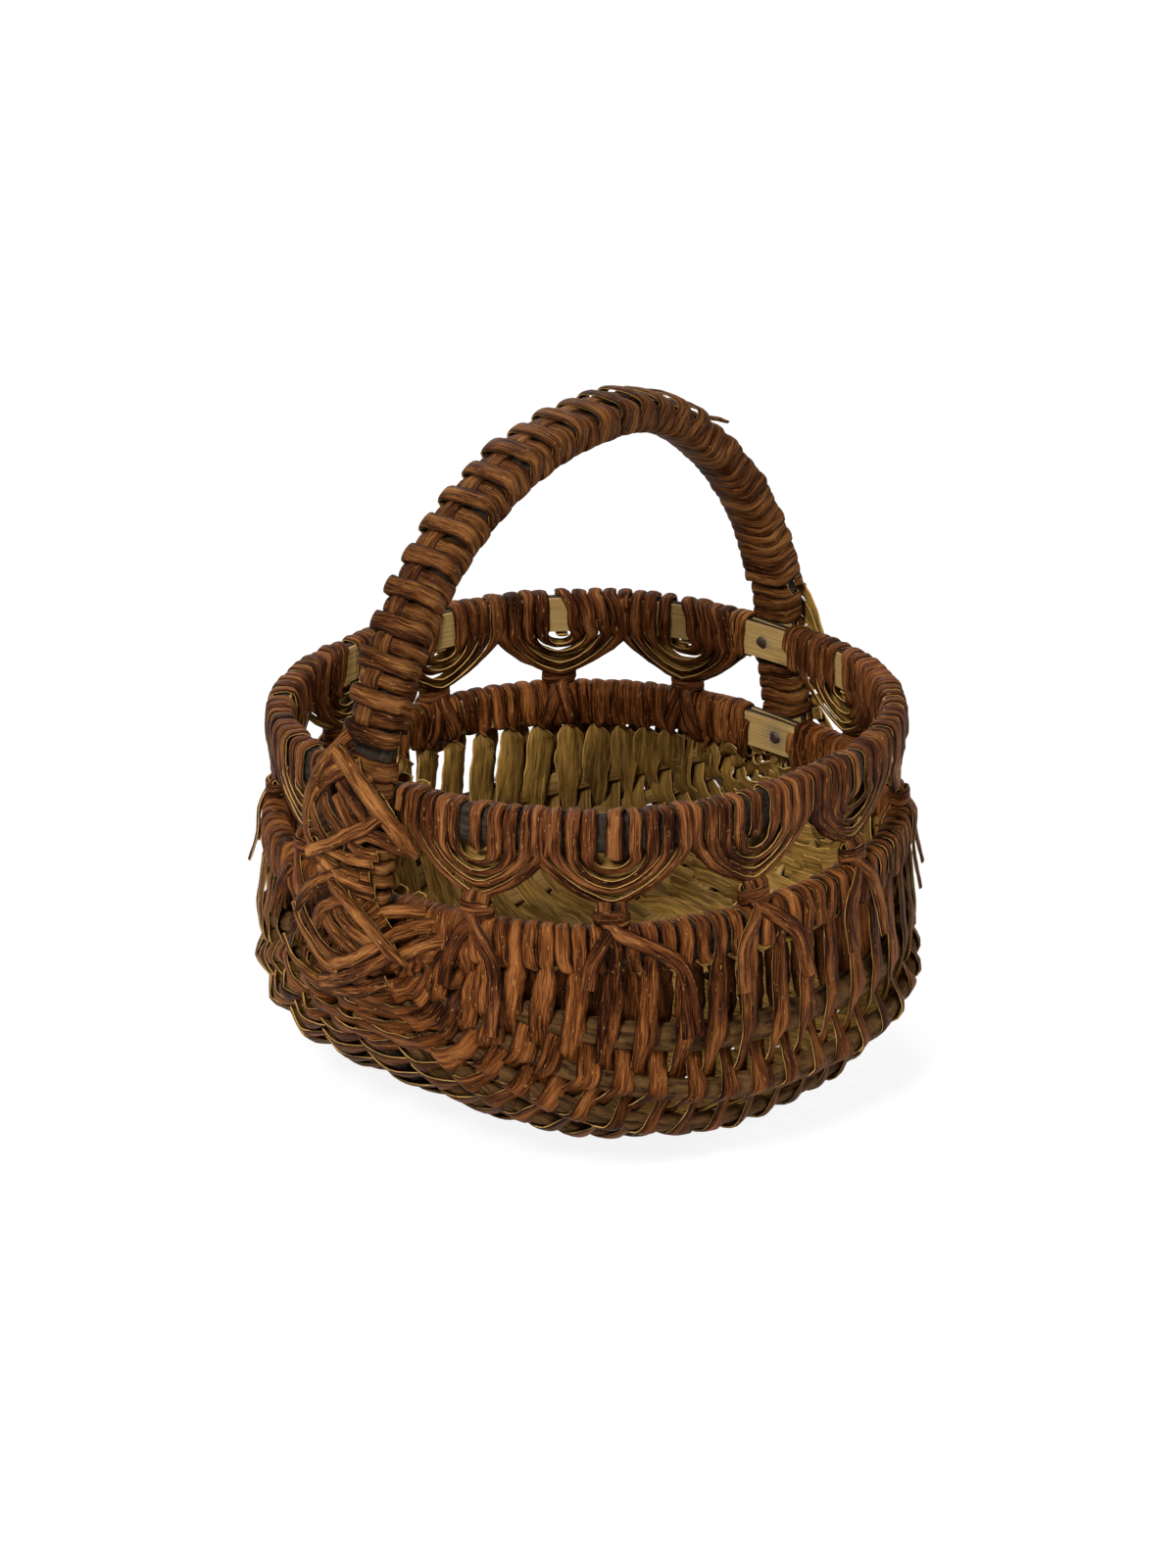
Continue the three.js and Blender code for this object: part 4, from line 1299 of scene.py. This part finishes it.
# %% Ribbons of the eyes
eye_ribbons = {
    "upper": (
        (7, -1.6, ((10.5, 7.5), (4.5, 3), (-2, -2.5), (-5, -6.5))),
        (6.5, -2, ((13, 1.5), (10.5, -1.5), (7, -5), (3.5, -9.5))),
        (5.5, -1.4, ((20, 0.5), (18.5, -5), (14, -9), (7.5, -11.5))),
        (6.2, -0.2, ((24, -2.5), (17, 6.5), (8.5, 12.5), (0, 16))),
        (4.5, 0.2, ((21, 3.5), (25, -2.5), (23.5, -8.5), (20, -13.5), (15.5, -18))),
        (5.2, 0.9, ((6, 25), (11, 20), (16.5, 14), (22, 6), (26, -1.5), (27.5, -10.5),
          (26.5, -18), (22.5, -22.5), (14.5, -25), (4, -25.5), (-6.5, -24))),
        (6, 0.7, ((-0.5, -10), (-7, -7.5), (-13, -9), (-21, -12))),
        (5.2, 1.6, ((26.5, -23.5), (11, -15), (0, -8), (-8.5, -2.5), (-12, 1))),
        (8.2, 2.7, ((11, 19), (4, 16), (-4, 10.5), (-10.5, 4.5), (-15.5, -1.5), (-20.5, -7.5),
          (-25, -13))),
        (4.8, 0.3, ((19.5, -18.5), (11, -19.5), (2.5, -19.5), (-7.5, -18))),
        (4.6, 0.6, ((2.5, -13), (-3, -15.5), (-10, -15))),
        (5.6, 0.2, ((21.5, -28.5), (13, -30.5), (2.5, -31), (-7, -30.5))),
    ),
    "lower": (
        (6, -1.5, ((-9.5, -7), (-15, -2), (-23, 2), (-31, 3.5))),
        (6, -0.5, ((-13.5, -13.5), (-20, -8), (-28, -3), (-36, -0.5))),
        (5.5, -3, ((-4, 2), (-10, 5), (-18, 7), (-25, 7.5))),
        (6.4, -1.6, ((19.5, -2), (15.5, -6.5), (9, -10), (1, -13.5))),
        (6, -1.2, ((11, 3.5), (6, -2), (-0.5, -5.5), (-8.5, -7))),
        (6, -1.8, ((5, 7.5), (-2, 2.5), (-8, -2))),
        (5.2, -0.2, ((22.5, -8), (18.5, -0.5), (10, 5), (2, 9))),
        (6, 0.6, ((33, -4.5), (25, 5), (15, 12), (5.5, 17), (-2.5, 17))),
        (4.6, 0.2, ((30, -1.5), (26.5, -7.5), (21.5, -13.5), (15.5, -17), (6.5, -17.5))),
        (5, 0.7, ((33.5, -2.5), (30.5, -10), (25, -16.5), (19.5, -21.5), (10.5, -23))),
        (5, 1.2, ((14, -21), (4, -16.5), (-4.5, -11), (-12.5, -5))),
        (5.6, 0.9, ((22.5, -31), (8.5, -25), (-3.5, -17.5), (-12, -11.5), (-17.5, -7.5))),
        (6, 2.5, ((10.5, 13.5), (2, 8.5), (-6, 4), (-12, -2.5), (-16.5, -8), (-21.5, -12.5))),
        (5.6, 0.6, ((17.5, 17.5), (9, 15.5), (-0.5, 14.5), (-9.5, 14.5))),
        (5, 0.2, ((42.5, -19), (39, -27.5), (28, -32.5), (14, -32), (-0.5, -27.5),
          (-12, -20.5))),
    ),
}
print("ribbons of an eye:", {level_name: len(ribbons) for level_name, ribbons in eye_ribbons.items()})

# %% [markdown]
# Places on an eye
#
# An eye is drawn flat, as sideways and height, and this flat map is laid on the leg. Above the upper hoop it
# follows the bow, and under the lower one it bends in with the bowl.

# %% Places on an eye
front_face = handle_thickness / 2 + seat + skein_thickness * 1.5
under_bend = 0.12
eye_dome = 0.0026
flat_half, flat_height = 0.008, 0.012
right_fall, left_fall, end_fall = 0.15, 0.5, 0.12


def eye_place(end, level, sideways, height, lift):
    middle, _, out = leg_place(end, min(level + height, rim_spacing))
    if level + height > rim_spacing:
        angle = math.asin(min((level + height - rim_spacing) / bow_rise, 1))
        middle, _, out = bow_place(angle if end > 0 else math.pi - angle)
    elif level + height < 0:
        middle = middle + out * (level + height) * under_bend
    return np.array([middle[0], middle[1] + sideways, lower_level + level + height]) + out * lift, out


def eye_front(sideways, height):
    fall = right_fall * max(0.0, sideways - flat_half) + left_fall * max(0.0, -sideways - flat_half)
    return front_face + eye_dome - fall - end_fall * max(0.0, abs(height) - flat_height)


print("middle of an eye stands", round(1000 * eye_front(0.0, 0.0), 1), "mm out")

# %% [markdown]
# Ribbons and lashing of an eye
#
# The ribbons lie over the middle of the eye and lean to the sides at its edges. Behind them a lashing crosses
# the leg both ways, so that no gap opens on the wood. A sculpted diamond would be quicker, but it would have
# no edges.

# %% Strips of an eye
far_squeeze = 0.7
far_inset = 0.0012
aside_from, aside_rate, aside_limit = 0.01, 30, 0.9
top_lift, top_tips = 2, (0.002, 0.008)
ribbon_scales = {-1: 1000, 1: 1200}
lashing_shifts = (-0.0066, 0.0, 0.0066)
lashing_runs = (-0.0112, -0.0056, 0.0, 0.0056, 0.0112)
lashing_squeeze = 0.7
lashing_width = 0.0068
lashing_sink, lashing_layer, lashing_fall = 0.0006, 0.0007, 9


def eye_strips(end, level, ribbons):
    strips = []
    for width, lift, places in ribbons:
        keys = []
        for sideways, height in np.array(places) / 1000:
            front = eye_front(sideways, height) + lift / 1000
            if end > 0:
                sideways, front = far_squeeze * sideways, front - far_inset
            point, out = eye_place(end, level, -end * sideways, height, front)
            past = max(0.0, abs(sideways) - aside_from)
            aside = -end * np.sign(sideways) * min(aside_limit, aside_rate * past)
            keys.append(key(point, unit(out + aside * crosswise)))
        ends = top_tips if lift > top_lift else (0.0, 0.0)
        strips.append(strip(keys, width=width / ribbon_scales[end], step=0.002, ends=ends))
    return strips


def lashing_strips(end, level):
    strips = []
    for slope in (1, -1):
        for shift in lashing_shifts:
            keys = []
            for run in lashing_runs:
                sideways = lashing_squeeze * (run - shift * slope)
                height = lashing_squeeze * (run * slope + shift)
                fall = lashing_fall * (sideways ** 2 + height ** 2)
                front = front_face - lashing_sink - lashing_layer * slope - fall
                keys.append(key(*eye_place(end, level, sideways, height, front)))
            strips.append(strip(keys, width=lashing_width))
    return strips


print("strips of a lashing:", 2 * len(lashing_shifts))

# %% [markdown]
# Arms of an eye
#
# On both sides of the leg a strip takes one and a half turns round the hoop. Inside the near eyes four short
# strips cross on the back of the leg, where the open basket shows them.

# %% Strips round the arms
arm_offsets = {-1: (-0.0128, 0.0128), 1: (-0.0115, 0.0155)}
arm_turns, arm_steps = 1.5, 19
arm_drift = 0.0035
arm_lift, arm_share = 0.0002, 0.9
inner_half = 0.0115
inner_shifts = (-0.0045, 0.0045)
inner_lifts = {1: 1.2, -1: 2.2}
inner_slope = 0.72
inner_dome = 0.00024
inner_tips = (0.002, 0.002)


def arm_strips(end, level):
    half, height = (rim_half, upper_level) if level else (lower_half, lower_level)
    base = 0.0 if end > 0 else math.pi
    strips = []
    for offset in arm_offsets[end]:
        keys = []
        for part in np.arange(arm_steps + 1) / arm_steps:
            shift = (offset + arm_drift * (part - 0.5)) / half
            place = rim_place(half, height, plan_angle(base + shift))
            keys.append(key(*rod_ring(place, 2 * math.pi * arm_turns * part, arm_lift), arm_share))
        strips.append(strip(keys))
    return strips


def inner_strips(end, level):
    middle = leg_place(end, level)[0]
    strips = []
    for slope, lift in inner_lifts.items():
        inner = -(handle_thickness / 2 + rod_thickness + 2 * seat + skein_thickness * lift)
        for shift in inner_shifts:
            keys = []
            for run in np.linspace(-inner_half, inner_half, 5):
                inward = end * (inner - inner_dome * (1 - (run / inner_half) ** 2))
                point = np.array([middle[0] + inward, run + shift, middle[2] + slope * run * inner_slope])
                keys.append(key(point, np.array([-end, 0.0, 0.0])))
            strips.append(strip(keys, ends=inner_tips))
    return strips


print("arms of an eye:", len(arm_offsets[-1]))

# %% [markdown]
# The four eyes
#
# The two near eyes were drawn from the basket, and the two far ones repeat their ribbons, a little narrower,
# because nothing shows how they differ.

# %% Eye pieces
for level_name, level in (("upper", rim_spacing), ("lower", 0.0)):
    for name, end in (("left", -1), ("right", 1)):
        strips = eye_strips(end, level, eye_ribbons[level_name]) + lashing_strips(end, level)
        strips += arm_strips(end, level)
        strips += inner_strips(end, level) if end < 0 else []
        strip_piece(f"eye_{level_name}_{name}", strips, [f"eye_lashing_{level_name}_{name}"], "eye_skein")

# %% [markdown]
# Floor and world
#
# A plain white floor and world keep the background white, and the floor still takes the basket's shadow. Rays
# from the camera, and those that a mirror or glass sends on, see white. All other rays see a quieter light,
# because a white world on its own would wash the colours out.

# %% Floor and world
def seen_directly(tree):
    rays = add(tree, "ShaderNodeLightPath").outputs
    seen = maths(tree, "MAXIMUM", rays["Is Camera Ray"], rays["Is Glossy Ray"])
    return maths(tree, "MAXIMUM", seen, rays["Is Transmission Ray"])


def mix_shaders(tree, share, first, second, output):
    mixed = add(tree, "ShaderNodeMixShader", {0: share, 1: first.outputs[0], 2: second.outputs[0]})
    tree.links.new(mixed.outputs[0], tree.nodes[output].inputs[0])


floor_glow_strength, floor_glow_share = 1.08, 0.82
sky_strength = 0.05
floor_half = 6
floor_mesh = bpy.data.meshes.new("floor")
corners = [(floor_half * x, floor_half * y, 0) for x, y in ((-1, -1), (1, -1), (1, 1), (-1, 1))]
floor_mesh.from_pydata(corners, [], [(0, 1, 2, 3)])
floor = add_object("floor", floor_mesh)
floor_material, floor_tree, floor_surface = shader("white floor")
set_inputs(floor_tree, floor_surface, {"Base Color": (0.9, 0.9, 0.9), "Roughness": 0.9})
floor_glow = add(floor_tree, "ShaderNodeEmission", {"Color": white, "Strength": floor_glow_strength})
floor_share = maths(floor_tree, "MULTIPLY", seen_directly(floor_tree), floor_glow_share)
mix_shaders(floor_tree, floor_share, floor_surface, floor_glow, "Material Output")
floor_mesh.materials.append(floor_material)

world = bpy.data.worlds.new("studio")
bpy.context.scene.world = world
world.use_nodes = True
sky = world.node_tree
sky_light = add(sky, "ShaderNodeBackground", {"Color": white, "Strength": sky_strength})
sky_white = add(sky, "ShaderNodeBackground", {"Color": white, "Strength": 1.0})
mix_shaders(sky, seen_directly(sky), sky_light, sky_white, "World Output")
print("floor and world:", floor.name, world.name)

# %% [markdown]
# Lamps
#
# Four soft lamps light the basket at a plain level, one of them from behind. A single sun would be simpler,
# but its shadows would hide the weave.

# %% Lamps
lamp_target = Vector((0, 0, 0.12))


def aim(obj, place, direction):
    obj.location = place
    obj.rotation_mode = "QUATERNION"
    obj.rotation_quaternion = direction.to_track_quat("-Z", "Y")


for name, place, power, size in (
    ("key", (-1.7, -0.5, 1.6), 50, 0.5),
    ("fill", (0.9, -1.8, 1.3), 17, 0.7),
    ("top", (0.4, 0.5, 2.2), 21, 0.6),
    ("back", (1.0, 1.9, 1.2), 12, 0.9),
):
    light = bpy.data.lights.new(name, "AREA")
    light.energy = power
    light.size = size
    aim(add_object(name, light), place, lamp_target - Vector(place))
    print(f"lamp {name}: {power} W, {size} m wide")

# %% [markdown]
# Camera
#
# The view was worked out from the two hoops: a long lens from about 2.2 m away, 48 degrees round from the
# long side and 21 degrees above. The basket sits a little above the middle of the picture, so the lens is
# shifted instead of tilted.

# %% Camera
view_azimuth = math.radians(-47.80)
view_elevation = math.radians(21.31)
view_distance = 2.2133
level_way = Vector((math.sin(view_azimuth), -math.cos(view_azimuth), 0))
back = level_way * math.cos(view_elevation) + Vector((0, 0, math.sin(view_elevation)))
camera_data = bpy.data.cameras.new("camera")
camera_data.lens = 138.06
camera_data.sensor_width = 36
camera_data.shift_x = 0.0006
camera_data.shift_y = -0.0423
camera_data.clip_end = 50
camera = add_object("camera", camera_data)
aim(camera, Vector((0, 0, upper_level)) + back * view_distance, -back)
bpy.context.scene.camera = camera
bpy.context.scene.view_settings.view_transform = "Standard"
print("camera at", [round(v, 3) for v in camera.location])

# %% Count the pieces
bpy.context.view_layer.update()
print("pieces:", len(pieces))
